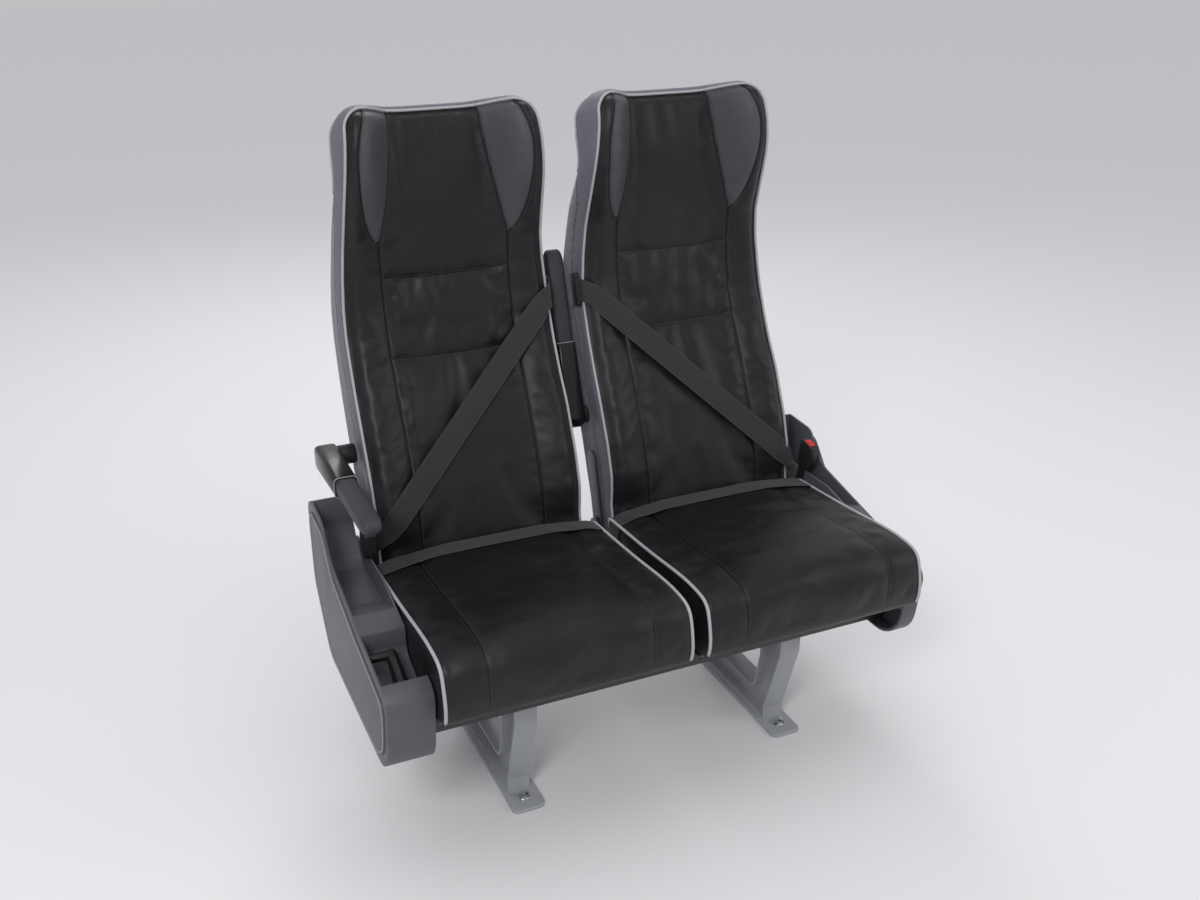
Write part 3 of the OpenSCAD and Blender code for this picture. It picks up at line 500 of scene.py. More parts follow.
# Grained leather: creased cells in two sizes, soft clouds of wear in colour and gloss, dark seams, stitches
def leather(name, colour, worn, gloss, seams=None):
    shade = Shade(name)
    cells = shade.cells(leatherLook["grain"], "DISTANCE_TO_EDGE")
    coarse = shade.cells(leatherLook["grain"] * leatherLook["coarseGrain"], "DISTANCE_TO_EDGE")
    grain = cells.rise(0.0, 0.16) * 0.65 + coarse.rise(0.0, 0.10) * 0.35 + shade.noise(45, 2) * 0.15
    cloud = shade.noise(7.0, 4, 0.6)
    wear = (cloud * 0.75 + shade.noise(90.0) * 0.25).rise(0.46, 0.74)
    pores = 1 - cells.rise(0.0, 0.07) * 0.3
    base = shade.mix(wear * 0.55, colour, worn)
    base = shade.mix(pores.rise(0.72, 1.0) * 0.35, base, scaled(colour, 0.55))
    rough = gloss + cloud * 0.16 + (1 - grain) * 0.10 - 0.06
    relief = shade.bump(shade.noise(leatherLook["creases"], 5, 0.62), 0.30, leatherLook["creaseHeight"])
    if seams:
        gap, threads = seams(shade)
        line = 1 - gap.rise(*leatherLook["seamHalf"])
        base = shade.mix(line * 0.85, base, scaled(colour, 0.2))
        base = shade.mix(threads * 0.8, base, leatherLook["thread"])
        relief = shade.bump(threads - line, 0.8, leatherLook["seamHeight"], relief)
    normal = shade.bump(grain, 0.55, leatherLook["grainHeight"], relief)
    return shade.finish(colour=base, rough=rough, normal=normal, specular=leatherLook["specular"])


# Velour with a speckle of paler and bluer tufts
def moquette(name):
    shade = Shade(name)
    drift = shade.noise(11)
    speckle = shade.node("ShaderNodeSeparateColor", None, {0: shade.cells(240, out="Color")})
    base = shade.mix(speckle.rise(0.62, 0.80), (0.028, 0.031, 0.052), (0.105, 0.112, 0.165))
    base = shade.mix(shade.noise(420, 2).rise(0.60, 0.70), base, (0.19, 0.20, 0.25))
    base = shade.mix(drift * 0.35, base, (0.045, 0.048, 0.075))
    normal = shade.bump(shade.cells(520) + drift * 0.4, 0.7, 0.6 * mm)
    return shade.finish(colour=base, rough=0.82 + drift * 0.1, normal=normal, sheen=0.35, sheenRough=0.5)


# Moulded plastic: spark-eroded grain, faint sink clouds, rubbed paler in scattered spots
def moulding(name, colour, rough, grain=900, height=0.12 * mm, cloudShare=0.08):
    shade = Shade(name)
    cloud = shade.noise(9, 4, 0.6)
    scuff = shade.noise(60, 6, 0.7).rise(0.60, 0.78)
    base = shade.mix(cloud * 0.30 + scuff * 0.22, colour, scaled(colour, 1.5, 0.012))
    normal = shade.bump(shade.cells(grain) + cloud * 0.3, 0.45, height)
    rough = rough + cloud * cloudShare + scuff * 0.08
    return shade.finish(colour=base, rough=rough, normal=normal, specular=0.4)


# Powder coat: orange peel, faint clouds and small grey chips
def paint(name, colour, rough):
    shade = Shade(name)
    orange = shade.noise(330, 2)
    cloud = shade.noise(8, 4)
    chips = shade.noise(75, 6, 0.75).rise(0.70, 0.76)
    base = shade.mix(cloud * 0.35, colour, scaled(colour, 1.35, 0.008))
    base = shade.mix(chips * 0.5, base, (0.20, 0.20, 0.21))
    normal = shade.bump(orange + cloud * 0.5, 0.25, 0.25 * mm)
    rough = rough + orange * 0.1 + cloud * 0.06
    return shade.finish(colour=base, rough=rough, normal=normal, coat=0.15, coatRough=0.3)


# Polished steel with fine lines round it
def polishedRod(name):
    shade = Shade(name)
    lines = (shade.split(shade.place)[1] * 9000 + shade.noise(60, 2) * 4).sine()
    rough = 0.18 + shade.noise(40, 4) * 0.12
    normal = shade.bump(lines, 0.08, 0.02 * mm)
    return shade.finish(colour=(0.62, 0.63, 0.65), metal=1.0, rough=rough, normal=normal)


# Webbing: ribs along, picks slanting across and broader bands, on the strap's own map
def webbing(name):
    shade = Shade(name)
    u, v = shade.map()
    ribs = (u * 2600).sine()
    picks = (v * 3400 + ribs * 0.9).sine() * 0.5 + 0.5
    bands = (u * 820).sine() * 0.5 + 0.5
    weave = (ribs * 0.5 + 0.5) * 0.40 + picks * 0.30 + bands * 0.30
    edge = abs(u - belt["width"] / 2).rise(19.5 * mm, 22.2 * mm)
    base = shade.mix(weave * 0.7, (0.006, 0.006, 0.007), (0.030, 0.030, 0.034))
    base = shade.mix(edge * 0.4 + shade.noise(14, 4) * 0.15, base, (0.045, 0.045, 0.050))
    normal = shade.bump(weave, 0.8, 0.35 * mm)
    return shade.finish(colour=base, rough=0.62 + (1 - weave) * 0.2, normal=normal, sheen=0.15)


belt = dict(
    width=46 * mm, thick=1.5 * mm,
    guideX=210.5 * mm, guideS=501.7 * mm, anchorX=219 * mm,  # where it leaves its guide, and the hinge arm
    top=476 * mm, low=112 * mm, crest=0.86,  # where it crosses the wings, crest as a share of the half width
    slant=(0.71, 0.70), clear=1.3 * mm,
    lapAhead=41 * mm, lapClear=1.4 * mm, lapAside=1.6 * mm, lapTuck=(34 * mm, 9 * mm),
)
looks = {
    "black": leather("blackLeather", leatherLook["black"], leatherLook["worn"], 0.33, backSeams),
    "seat": leather("cushionLeather", leatherLook["black"], leatherLook["worn"], 0.36, cushionSeams),
    "insert": leather("greyInsertLeather", leatherLook["insert"], leatherLook["insertWorn"], 0.46, backSeams),
    "side": leather("greySideLeather", leatherLook["side"], leatherLook["sideWorn"], 0.50),
    "piping": leather("palePiping", leatherLook["piping"], leatherLook["pipingWorn"], 0.45),
    "moquette": moquette("speckledVelour"),
    "cover": moulding("greyMoulding", (0.085, 0.087, 0.100), 0.42),
    "glossBlack": moulding("glossBlackMoulding", (0.008, 0.008, 0.009), 0.20, 1500, 0.03 * mm, 0.04),
    # Pale trim: a pale line on the arm rings, and on the cover bead a painted highlight along the panel's edge
    "trim": moulding("paleTrim", (0.30, 0.30, 0.32), 0.30, 1500, 0.03 * mm, 0.04),
    "armSkin": moulding("softArmSkin", (0.040, 0.040, 0.046), 0.56, 700, 0.22 * mm),
    "buckle": moulding("buckleMoulding", (0.014, 0.014, 0.015), 0.38),
    "red": moulding("redButton", (0.52, 0.018, 0.022), 0.28, 1500, 0.04 * mm),
    "beamPaint": paint("blackPowderCoat", (0.030, 0.031, 0.034), 0.42),
    "legPaint": paint("greyPowderCoat", (0.33, 0.34, 0.36), 0.40),
    "panPaint": paint("panCoat", (0.050, 0.051, 0.056), 0.48),
    "rod": polishedRod("polishedRod"),
    "webbing": webbing("blackWebbing"),
}
print("materials ready:", len(looks))


# Cords as one piece: a tube of its own radius along each path
def buildCords(name, cords, reference, look, body, slot, count=10, closed=False):
    patches = [(*tube(path, radius, reference, count, closed), 0) for path, radius in cords]
    piece = buildPiece(name, patches, [looks[look]])
    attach(piece, body)


# Belt webbing


# A strap along a path, its width along the given directions, with a map in metres: across and along
def strap(name, path, wide, body, node):
    wide = unit(wide)
    along = unit(np.gradient(path, axis=0))
    section = flatSection(belt["width"] / 2, belt["thick"] / 2, 20, 0.25)
    points, quads = sweep(path, wide, np.cross(along, wide), section)
    run = arcLength(path)
    run = np.concatenate([run[:1], run, run[-1:]])  # the sweep adds a closing ring at each end
    across = np.tile(section[:, 0] + belt["width"] / 2, len(run))
    uv = asRows(across, np.repeat(run, len(section)))
    piece = buildPiece(name, [(points, quads, 0)], [looks["webbing"]], uv)
    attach(piece, body)
    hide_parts(node)


# A taut line over bumps: at each point the highest of all straight spans from a point before it to one after
def taut(along, height):
    before, here, after = np.ix_(*[range(len(along))] * 3)
    span = np.maximum(along[after] - along[before], 1e-9)
    share = (along[here] - along[before]) / span
    spans = height[before] + (height[after] - height[before]) * share
    spanning = (before <= here) & (here <= after) & (before < after)
    return np.where(spanning, spans, -np.inf).max((0, 2))


# Backrests
backCurve = {
    key: softCurve(back["place"], np.array(back[key]) * mm, back["blur"])
    for key in ("halfWidth", "front", "wing", "rear", "bulge")
}

# The front's leather as cloth: its grid, how it starts out padded and uneven, and the caps on what comes back
backCloth = dict(
    rows=160, cols=85, lowGap=4 * mm, topGap=3 * mm, held=3.2 * mm, pad=5 * mm, padReach=20 * mm,
    uneven=0.9 * mm, swell=3.2 * mm, fold=2.3 * mm, bolsterCalm=0.6, headCalm=0.35,
)
folds = dict(
    deep=2.5 * mm, head=0.5 * mm, elbow=0.7 * mm,  # how far the three kinds stand out
    reach=(135 * mm, 260 * mm),  # how far they hang below each level seam
)


# Depth of the front face at share u of the half width and height s: lumbar and head stand forwards,
# the side wings rise ahead of the middle, and the last stretch rolls back to the piping
def frontDepth(u, s):
    k, u = s / back["length"], np.abs(u)
    wing = backCurve["wing"](k) * softStep(back["wingFrom"], back["rollFrom"], u)
    return -backCurve["front"](k) - wing + back["edgeRoll"] * softStep(back["rollFrom"], 1.0, u) ** 1.5


# Half width of the front's leather at height s, before its corners are rounded: the table's, less an inset
def faceHalf(s):
    return backCurve["halfWidth"](s / back["length"]) - back["edgeInset"]


# Half width of the front at height s: the face's, with quarter rounds at the top and bottom corners
def frontHalf(s):
    top, low = back["cornerRadius"], back["lowRadius"]
    up = np.clip(s - (back["length"] - top), 0, top)
    down = np.clip(back["lowS"] + low - s, 0, low)
    return faceHalf(s) - (top - np.sqrt(top ** 2 - up ** 2)) - (low - np.sqrt(low ** 2 - down ** 2))


# Depth of the rear face at height s, by the table's curve
def rearDepth(s):
    return backCurve["rear"](np.clip(s, back["lowS"], back["length"]) / back["length"])


# Rows up the back, even on the straight stretch and evenly turned round the two corner rounds
def backRows():
    low, top, r, q = back["lowS"], back["length"], back["cornerRadius"], back["lowRadius"]
    turn = np.linspace(0, math.pi / 2, back["cornerRows"])
    bottom = low + q - q * np.cos(turn)
    crown = top - r + r * np.sin(turn)
    return np.concatenate([bottom, np.linspace(low + q, top - r, back["rows"])[1:-1], crown])


# The insert's two seams, from the top edge to their common tip: the inner one bows towards the wing,
# the outer one runs down the wing and comes in along a quarter ellipse
def insertLines(down):
    q = np.clip(down / back["insertLow"], 0, 1)
    inner = back["insertTopX"] + (back["seamX"] - back["insertTopX"]) * q ** back["insertBend"]
    bow = np.sin(np.clip(q / back["insertTurn"], 0, 1) * math.pi / 2)
    wide = back["insertOuterX"] + back["insertWide"] * bow
    tip = np.clip((q - back["insertTurn"]) / (1 - back["insertTurn"]), 0, 1)
    return inner, back["seamX"] + (wide - back["seamX"]) * np.sqrt(1 - tip ** 2)


# Distance to the nearest seam, for its valley and the puff beside it, and whether a point is in an insert
def seamDistance(x, s):
    far = 1.0
    down, x = back["length"] - s, np.abs(x)
    inner, outer = insertLines(down)
    toOuter = np.abs(x - outer) * back["outerSlant"]
    toOuter = np.where(down < back["insertLow"] + back["insertTip"], toOuter, far)
    nearest = np.minimum(np.abs(x - inner) * back["innerSlant"], toOuter)
    for seam in back["seams"]:
        line = seam + back["seamSag"] * (1 - (x / back["seamX"]) ** 2)
        nearest = np.minimum(nearest, np.where(x < inner + 2 * mm, np.abs(down - line), far))
    return nearest, (down < back["insertLow"]) & (x > inner) & (x < outer)


# Soft folds that hang from the two level seams and fade downwards, slack waves in the head's panel and
# short folds across the outer bolsters: sines whose phase drifts up the back, in radians a metre
def leatherCreases(x, s):
    down = back["length"] - s
    panel = softStep(0.124, 0.105, np.abs(x))
    total = 0
    for seam, reach in zip(back["seams"], folds["reach"]):
        under = softStep(seam, seam + 12 * mm, down) * softStep(seam + reach, seam + 30 * mm, down)
        phase = x * 118 + 0.9 * np.sin(down * 17 + x * 9) + 0.6 * np.sin(x * 41)
        fold = np.sin(phase) * (0.55 + 0.45 * np.sin(x * 23 + seam * 40 + 0.8))
        total = total + under * fold * folds["deep"]
    head = softStep(0.03, 0.09, down) * softStep(0.29, 0.22, down)
    total = total + head * folds["head"] * np.sin(x * 37 + 2.0 * np.sin(down * 21)) * np.sin(down * 33 + 0.5)
    bolster = softStep(0.128, 0.145, np.abs(x)) * softStep(0.20, 0.178, np.abs(x))
    elbow = softStep(0.36, 0.43, down) * softStep(0.74, 0.60, down)
    cross = np.sin(down * 150 - np.abs(x) * 90 + 1.6 * np.sin(down * 31))
    return panel * total + bolster * elbow * folds["elbow"] * cross


# How far the leather of a back's front moves out of its frame line, from the simulation, as depths on
# a grid of heights and shares of the half width. Seams and border hold it.
def backSkin():
    low, top = back["lowS"] + backCloth["lowGap"], back["length"] - backCloth["topGap"]
    s = np.linspace(low, top, backCloth["rows"])
    u = np.linspace(-1, 1, backCloth["cols"])
    x = u * faceHalf(s)[:, None]
    tall = np.broadcast_to(s[:, None], x.shape)
    seam, _ = seamDistance(x, tall)
    held = seam < backCloth["held"]
    held[[0, -1]] = True
    held[:, [0, -1]] = True
    uneven = backCloth["uneven"] * np.sin(x * 43 + tall * 21 + 0.6) * np.sin(tall * 37 + 1.9)
    pad = backCloth["pad"] * (1 - np.exp(-seam / backCloth["padReach"])) + uneven
    points = backToWorld(1, x, tall, frontDepth(u + 0 * x, tall) - pad)
    down, out = back["length"] - tall, np.abs(x)
    onHead = softStep(0.31, 0.27, down) * softStep(0.136, 0.116, out)
    calm = 1 - backCloth["bolsterCalm"] * softStep(0.116, 0.136, out) - backCloth["headCalm"] * onHead
    move = skinMove(points, held, backWay(1, 0.0, 0.0, 1.0), backCloth["swell"], backCloth["fold"], calm)
    return move, s, u


# The front as a grid: the frame line, rolled to the rear at top and bottom, less the puff beside seams and
# border, plus the seams' valleys, the folds and what the simulation moved. The top dips between two ears.
def backFront(side, skin):
    s = backRows()
    u = np.concatenate([np.linspace(*stretch)[:-1] for stretch in back["columns"]] + [[1.0]])
    u = np.concatenate([-u[:0:-1], u])
    half = frontHalf(s)
    x = u * half[:, None]
    tall = np.broadcast_to(s[:, None], x.shape)
    crownRoll = back["endRoll"] * softStep(back["length"] - back["crownReach"], back["length"], tall) ** 2
    lowRoll = back["endRoll"] * softStep(back["lowS"] + back["lowReach"], back["lowS"], tall) ** 2
    seam, inInsert = seamDistance(x, tall)
    border = np.minimum((half[:, None] - np.abs(x)) * 1.2, back["length"] - tall)
    puffed = back["puff"] * (1 - np.exp(-np.minimum(seam, border) / back["puffReach"]))
    valley = back["seamDepth"] * np.exp(-(seam / back["seamWidth"]) ** 2)
    move, moveS, moveU = skin
    moved = regrid(move[:, ::side], moveS, moveU, s, u)
    depth = frontDepth(x / faceHalf(s)[:, None], tall) + crownRoll + lowRoll
    depth = depth - puffed + valley + leatherCreases(x, tall) + moved
    dip = softStep(0.90, 1.0, tall / back["length"]) * (softStep(0.3, 0.9, np.abs(u)) - 1)
    return dict(s=s, u=u, half=half, x=x, tall=tall, height=tall + back["ear"] * dip, depth=depth,
                inInsert=inInsert)


# The sides and top as rings from the front's border to the rear corner: straight to the rear, pushed out by
# the leather's thickness and a bulge. Smooth leather meets velour in a groove a little behind the piping.
# Above the neck that groove swings to the rear edge, so the head's side is all smooth.
def backSide(front):
    x, s, t = (borderOf(front[key]) for key in ("x", "height", "depth"))
    out = -leftOf(np.stack([x, s], -1))
    k = s / back["length"]
    deep = rearDepth(s) - back["rearCorner"] - t
    bulge = backCurve["bulge"](k) + back["crownBulge"] * softStep(0.97, 1.0, k)
    onHead = softStep(back["neckS"] - back["neckBelow"], back["neckS"] + back["neckAbove"], s)
    allSmooth = onHead > 0.97
    share = np.clip(back["sideBand"] / np.maximum(deep, 1 * mm), 0.1, 0.9)
    share = share + (back["headBand"] - share) * onHead
    step = np.linspace(0, 1, back["stripCount"])[:, None]
    q = np.concatenate([step * share, share + step[1:] * (1 - share)])
    groove = back["groove"] * np.exp(-((q - share) * deep / back["grooveWidth"]) ** 2) * (onHead < 0.97)
    skin = back["sideSkin"] * softStep(0, 0.12, q) + bulge * np.sin(math.pi * q) ** 0.8 - groove
    upper = np.where(s > 0.5, 1.0, 0.3)  # the bottom edge takes less of the thickness
    quads = gridFaces(len(q), len(s), closeCols=True)
    smooth = (quads // len(s)).min(1) < back["stripCount"] - 1
    smooth |= allSmooth[quads % len(s)].all(1)
    return dict(x=x + out[:, 0] * skin, s=s + out[:, 1] * skin * upper, t=t + deep * q, out=out, quads=quads,
                smooth=smooth, borderX=x, borderS=s, borderT=t)


# The rear: rings that turn in round a corner and then close over the rear face to its middle line
def backRear(edgeX, edgeS):
    r = np.linspace(0, 1, back["rearRings"])[:, None]
    turn = np.clip(r / back["cornerShare"], 0, 1) * math.pi / 2
    flat = softStep(back["cornerShare"], 1.0, r)
    corner, middle = back["rearCorner"], (back["length"] + back["lowS"]) / 2
    inward = corner * (1 - np.cos(turn))
    x = (edgeX - np.sign(edgeX) * np.minimum(inward, np.abs(edgeX))) * (1 - flat)
    s = middle + (edgeS - middle) * (1 - inward / back["rearShrink"])
    return x, s, rearDepth(s) - corner + corner * np.sin(turn)


# One backrest from its front, sides and rear, with a map of (across, up) on the front for the seams
def buildBack(name, side, skin):
    front = backFront(side, skin)
    strip = backSide(front)
    rearX, rearS, rearT = backRear(strip["x"][-1], strip["s"][-1])
    quads, smooth = gridFaces(*front["x"].shape), strip["smooth"]
    inInsert = front["inInsert"].reshape(-1)[quads].mean(1) > 0.5
    frontPoints = backToWorld(side, front["x"], front["height"], front["depth"]).reshape(-1, 3)
    stripPoints = backToWorld(side, strip["x"], strip["s"], strip["t"]).reshape(-1, 3)
    rearPoints = backToWorld(side, rearX, rearS, rearT).reshape(-1, 3)
    patches = [
        (frontPoints, quads[~inInsert], 0), (frontPoints, quads[inInsert], 1),
        (stripPoints, strip["quads"][smooth], 2), (stripPoints, strip["quads"][~smooth], 3),
        (rearPoints, gridFaces(*rearX.shape, closeCols=True), 3),
    ]
    frontMap = asRows(front["x"], front["tall"])
    stripMap = asRows(back["mapAside"] + strip["t"], strip["s"])
    rearMap = asRows(back["mapAside"] + rearT, rearS)
    uv = np.concatenate([frontMap, frontMap, stripMap, stripMap, rearMap])
    materials = [looks[look] for look in ("black", "insert", "side", "moquette")]
    piece = buildPiece(f"backrest_{name}", patches, materials, uv)
    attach(piece, f"back_{name}")
    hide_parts(f"back_pad_{name}")
    buildBackPiping(name, side, front["x"].shape[1], strip)
    buildShoulderStrap(name, side, front)


# Piping: a pale cord round the front's border, open at the crease, and one round the head's rear edge
def buildBackPiping(name, side, cols, strip):
    x, s, t = strip["borderX"], strip["borderS"], strip["borderT"]
    sideways, upwards = (strip["out"] * back["pipingProud"]).T
    border = slice(cols - 1 + back["pipingOpen"], len(x) - back["pipingOpen"] + 1)
    edge = backToWorld(side, x + sideways, s + upwards, t - back["pipingBack"])[border]
    onHead = s > back["neckS"]
    rearEdge = backToWorld(side, strip["x"][-1] + sideways / 2, strip["s"][-1] + upwards / 2, strip["t"][-1])
    rearWay = backWay(side, 0.0, 0.0, 1.0)
    cords = [(edge, back["pipingRadius"]), (rearEdge[onHead], back["pipingRadius"] * back["headPiping"])]
    buildCords(f"back_piping_{name}", cords, rearWay, "piping", f"back_{name}", "leather")


# Shoulder belt: out of the guide on the inner side, over the inner wing, taut across the back and round
# the outer edge to its anchor on the hinge arm
def buildShoulderStrap(name, side, front):
    halfTop, halfLow = backCurve["halfWidth"](np.array([belt["top"], belt["low"]]) / back["length"])
    start = np.array([-belt["crest"] * halfTop, belt["top"]])
    end = np.array([belt["crest"] * halfLow, belt["low"]])
    q = np.linspace(-0.055, 1.055, 90)
    line = start + (end - start) * q[:, None]
    across = np.linspace(-1, 1, 9)[:, None, None] * np.array(belt["slant"]) * belt["width"] / 2
    x, s = line[:, 0] + across[..., 0], line[:, 1] + across[..., 1]
    depths = readGrid(front["depth"], front["s"], front["u"], s, x / np.interp(s, front["s"], front["half"]))
    t = -taut(q, -depths.min(0)) - belt["clear"]
    guideX, guideS, anchorX = -belt["guideX"], belt["guideS"], belt["anchorX"]
    inner = [
        [guideX, guideS, 2 * mm], [guideX, guideS, -20 * mm],
        [guideX - 1 * mm, guideS - 1 * mm, t[0] + 8 * mm],
    ]
    outer = [
        [anchorX - 1 * mm, 84 * mm, t[-1] + 9 * mm], [anchorX, 88 * mm, -44 * mm],
        [anchorX, 96 * mm, -2 * mm],
    ]
    path = roundedPath(np.concatenate([inner, np.column_stack([line, t])[2:-2], outer]), 150)
    turned = softStep(0.78, 0.97, np.abs(path[:, 0]) / (halfTop + 2 * mm))
    slantX, slantS = belt["slant"]
    wide = backWay(side, slantX * (1 - turned), slantS + (1 - slantS) * turned, 0 * turned)
    strap(f"shoulder_belt_{name}", backToWorld(side, *path.T), wide, f"back_{name}", f"shoulder_strap_{name}")


skin = backSkin()
for name, side in sides.items():
    buildBack(name, side, skin)
print("backrests built")

# Cushions

# Its leather as cloth: how near a seam it is held, how uneven it starts, and the caps on what comes back
cushionCloth = dict(held=3.2 * mm, uneven=0.8 * mm, swell=3.5 * mm, fold=2.0 * mm, calm=0.75)


# The plane of the back's front face, just ahead of it, at height z
def creaseY(z):
    return hipY + (z - hipZ) * math.tan(lean) - (cushion["lumbar"] + cushion["creaseGap"]) / math.cos(lean)


# Closed profile of the cushion in (y, z): up the crease, along the falling top, round the nose and back below
def cushionProfile():
    top, low = cushion["crest"], cushion["low"]
    rearTop = top - cushion["drop"]
    rear = creaseY(rearTop)
    nose = rear - cushion["length"]
    corner = (creaseY(low) - 4 * mm, low)
    points = [
        corner, (creaseY(low + 20 * mm), low + 14 * mm), (creaseY(rearTop - 22 * mm), rearTop - 22 * mm),
        (rear - 3 * mm, rearTop - 1 * mm), (rear - 60 * mm, rearTop + 3 * mm),
        (rear - 200 * mm, top - 15 * mm), (rear - 320 * mm, top - 1 * mm), (nose + 62 * mm, top),
        (nose + 20 * mm, top - 6 * mm), (nose, top - 34 * mm), (nose, top - 88 * mm),
        (nose + 10 * mm, low + 8 * mm), (nose + 34 * mm, low), (rear - 220 * mm, low), corner,
    ]
    return roundedPath(points, cushion["around"] + 1)[:-1]


# How far the leather stands off the profile over a grid of places across and along it: the puff beside
# seams and border less the seams' valleys and the fall to the two sides, plus slack waves on the top
def cushionRise(x, share, upper, along):
    border = cushion["width"] / 2 - cushion["edgeInset"] - np.abs(x)
    seam = np.abs(np.abs(x) - cushion["seamX"])
    puffed = cushion["puff"] * (1 - np.exp(-np.minimum(seam, border * 1.1) / cushion["puffReach"]))
    valley = cushion["seamDepth"] * np.exp(-(seam / cushion["seamWidth"]) ** 2)
    fall = cushion["crown"] * softStep(0.55, 1, np.abs(share))
    slack = softStep(0.02, 0.10, along) * softStep(0.44, 0.36, along) * upper * softStep(0.0, 0.05, border)
    wave = np.sin(along * 62 + 2.0 * np.sin(x * 19 + 0.5)) * np.sin(x * 24 + along * 11 + 0.9)
    rise = (puffed - valley) * upper - fall * upper + slack * cushion["slack"] * wave
    return rise, np.minimum(seam, border)


# A side of the cushion: rings that bow outwards as they shrink to its middle
def cushionEnd(side, ring, x, way, centre):
    k = np.linspace(0, 1, cushion["endRings"])[:, None]
    bow = way * cushion["endBow"] * (1 - (1 - k) ** 2) ** 0.5 * (1 - 0.35 * k)
    y, z = (middle + (ring[:, axis] - middle) * (1 - k) for axis, middle in zip((1, 2), centre))
    return np.stack([side * (railX + x + bow) + 0 * y, y, z], -1)


# One seat cushion. Its simulated movement comes back, so that the second cushion uses the first one's.
def buildCushion(name, side, skinRise):
    profile = cushionProfile()
    centre = np.array([profile[:, 0].mean(), (cushion["crest"] + cushion["low"]) / 2])
    share = np.sin(np.linspace(-1, 1, cushion["across"]) * math.pi / 2 * 0.98) / math.sin(math.pi / 2 * 0.98)
    x = share * (cushion["width"] / 2 - cushion["edgeInset"])
    low, high = cushion["low"] + cushion["upperBlend"], cushion["crest"] - cushion["upperBlend"]
    upper = softStep(low, high, profile[:, 1])
    along = creaseY(cushion["crest"]) - profile[:, 0]
    rise, gap = cushionRise(x[:, None], share[:, None], upper, along)
    normal = leftOf(profile)
    normal *= np.sign(((profile - centre) * normal).sum(1, keepdims=True))
    outwards = np.broadcast_to(np.column_stack([0 * along, normal]), (*rise.shape, 3))
    flat = np.stack([side * (railX + x[:, None]) + 0 * rise, *(axis + 0 * rise for axis in profile.T)], -1)
    if skinRise is None:
        held = (upper < 0.03) | (gap < cushionCloth["held"])
        uneven = np.sin(x[:, None] * 31 + along * 27 + 0.4) * np.sin(along * 43 + 1.2)
        caps = cushionCloth["swell"], cushionCloth["fold"]
        start = flat + outwards * (rise + cushionCloth["uneven"] * uneven)[..., None]
        skinRise = skinMove(start, held, outwards, *caps, cushionCloth["calm"])
    band = flat + outwards * (rise + skinRise * (upper > 0.01))[..., None]
    ways = {0: -1, -1: 1}  # the grid's two ends, and which way is outwards at each
    ends = [cushionEnd(side, band[end], x[end], way, centre) for end, way in ways.items()]
    patches = [(grid.reshape(-1, 3), gridFaces(*grid.shape[:2], closeCols=True), 0) for grid in (band, *ends)]
    topMap = asRows(x[:, None] + 0 * rise, arcLength(profile) + 0 * rise)
    endMaps = [asRows(cushion["mapAside"] + end[..., 2], end[..., 1]) for end in ends]
    piece = buildPiece(f"seat_cushion_{name}", patches, [looks["seat"]], np.concatenate([topMap, *endMaps]))
    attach(piece, "root")
    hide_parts(f"cushion_{name}")
    onTop = profile[:, 1] > cushion["low"] + 14 * mm
    proud = side * cushion["pipingProud"]
    cords = [(band[end][onTop] + (way * proud, 0, 0), cushion["pipingRadius"]) for end, way in ways.items()]
    buildCords(f"cushion_piping_{name}", cords, (1, 0, 0), "piping", "root", "leather")
    buildLapStrap(name, side, x, band)
    return skinRise


# Lap belt: flat across the cushion just ahead of the crease, its ends tucked down beside it
def buildLapStrap(name, side, x, band):
    y = creaseY(cushion["crest"] - cushion["drop"]) - belt["lapAhead"]
    onTop = slice(*np.flatnonzero(band[len(x) // 2, :, 2] > cushion["crest"] - 45 * mm)[[0, -1]])
    lines = y + np.array([-21, 0, 21]) * mm
    rows = [(-row[onTop, 1], row[onTop, 2]) for row in band]
    front, middle, rear = np.array([[np.interp(-at, *row) for row in rows] for at in lines])
    z = taut(x, np.maximum(middle, (front + rear) / 2)) + belt["lapClear"]
    reach = cushion["width"] / 2
    aside, (deepTuck, tuck) = reach + belt["lapAside"], belt["lapTuck"]
    left, right = [z[0] - deepTuck, z[0] - tuck], [z[-1] - tuck, z[-1] - deepTuck]
    px = np.concatenate([[-aside] * 2, x[2:-2], [aside] * 2])
    pz = np.concatenate([left, z[2:-2], right])
    path = roundedPath(np.stack([side * (railX + px), y + 0 * px, pz], -1), 130)
    at = path[:, 0] * side - railX
    slope = np.interp(at, x, (rear - front) / (lines[2] - lines[0]))
    wide = np.stack([0 * slope, 1 + 0 * slope, slope * (np.abs(at) < reach)], -1)
    strap(f"lap_belt_{name}", path, wide, "root", f"lap_strap_{name}")


skinRise = None
for name in ("window", "aisle"):
    skinRise = buildCushion(name, sides[name], skinRise)
print("cushions built")


# Steel and mouldings kept from the frame


# A merged copy of a frame node with its sharp edges rounded
def softenedCopy(node, body, material, width, segments=2, angle=32):
    mesh = frame["nodes"][node].data.copy()
    shape = bmesh.new()
    shape.from_mesh(mesh)
    bmesh.ops.remove_doubles(shape, verts=shape.verts, dist=nodeWeld)
    bmesh.ops.dissolve_limit(shape, angle_limit=math.radians(0.6), verts=shape.verts, edges=shape.edges)
    shape.to_mesh(mesh)
    shape.free()
    mesh.polygons.foreach_set("use_smooth", np.ones(len(mesh.polygons), bool))
    mesh.materials.clear()
    mesh.materials.append(material)
    piece = linked(f"{node}_dressed", mesh)
    bevel = piece.modifiers.new("edgeRound", "BEVEL")
    bevel.width, bevel.segments = width, segments
    bevel.limit_method, bevel.angle_limit = "ANGLE", math.radians(angle)
    bevel.harden_normals = True
    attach(piece, body)
    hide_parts(node)


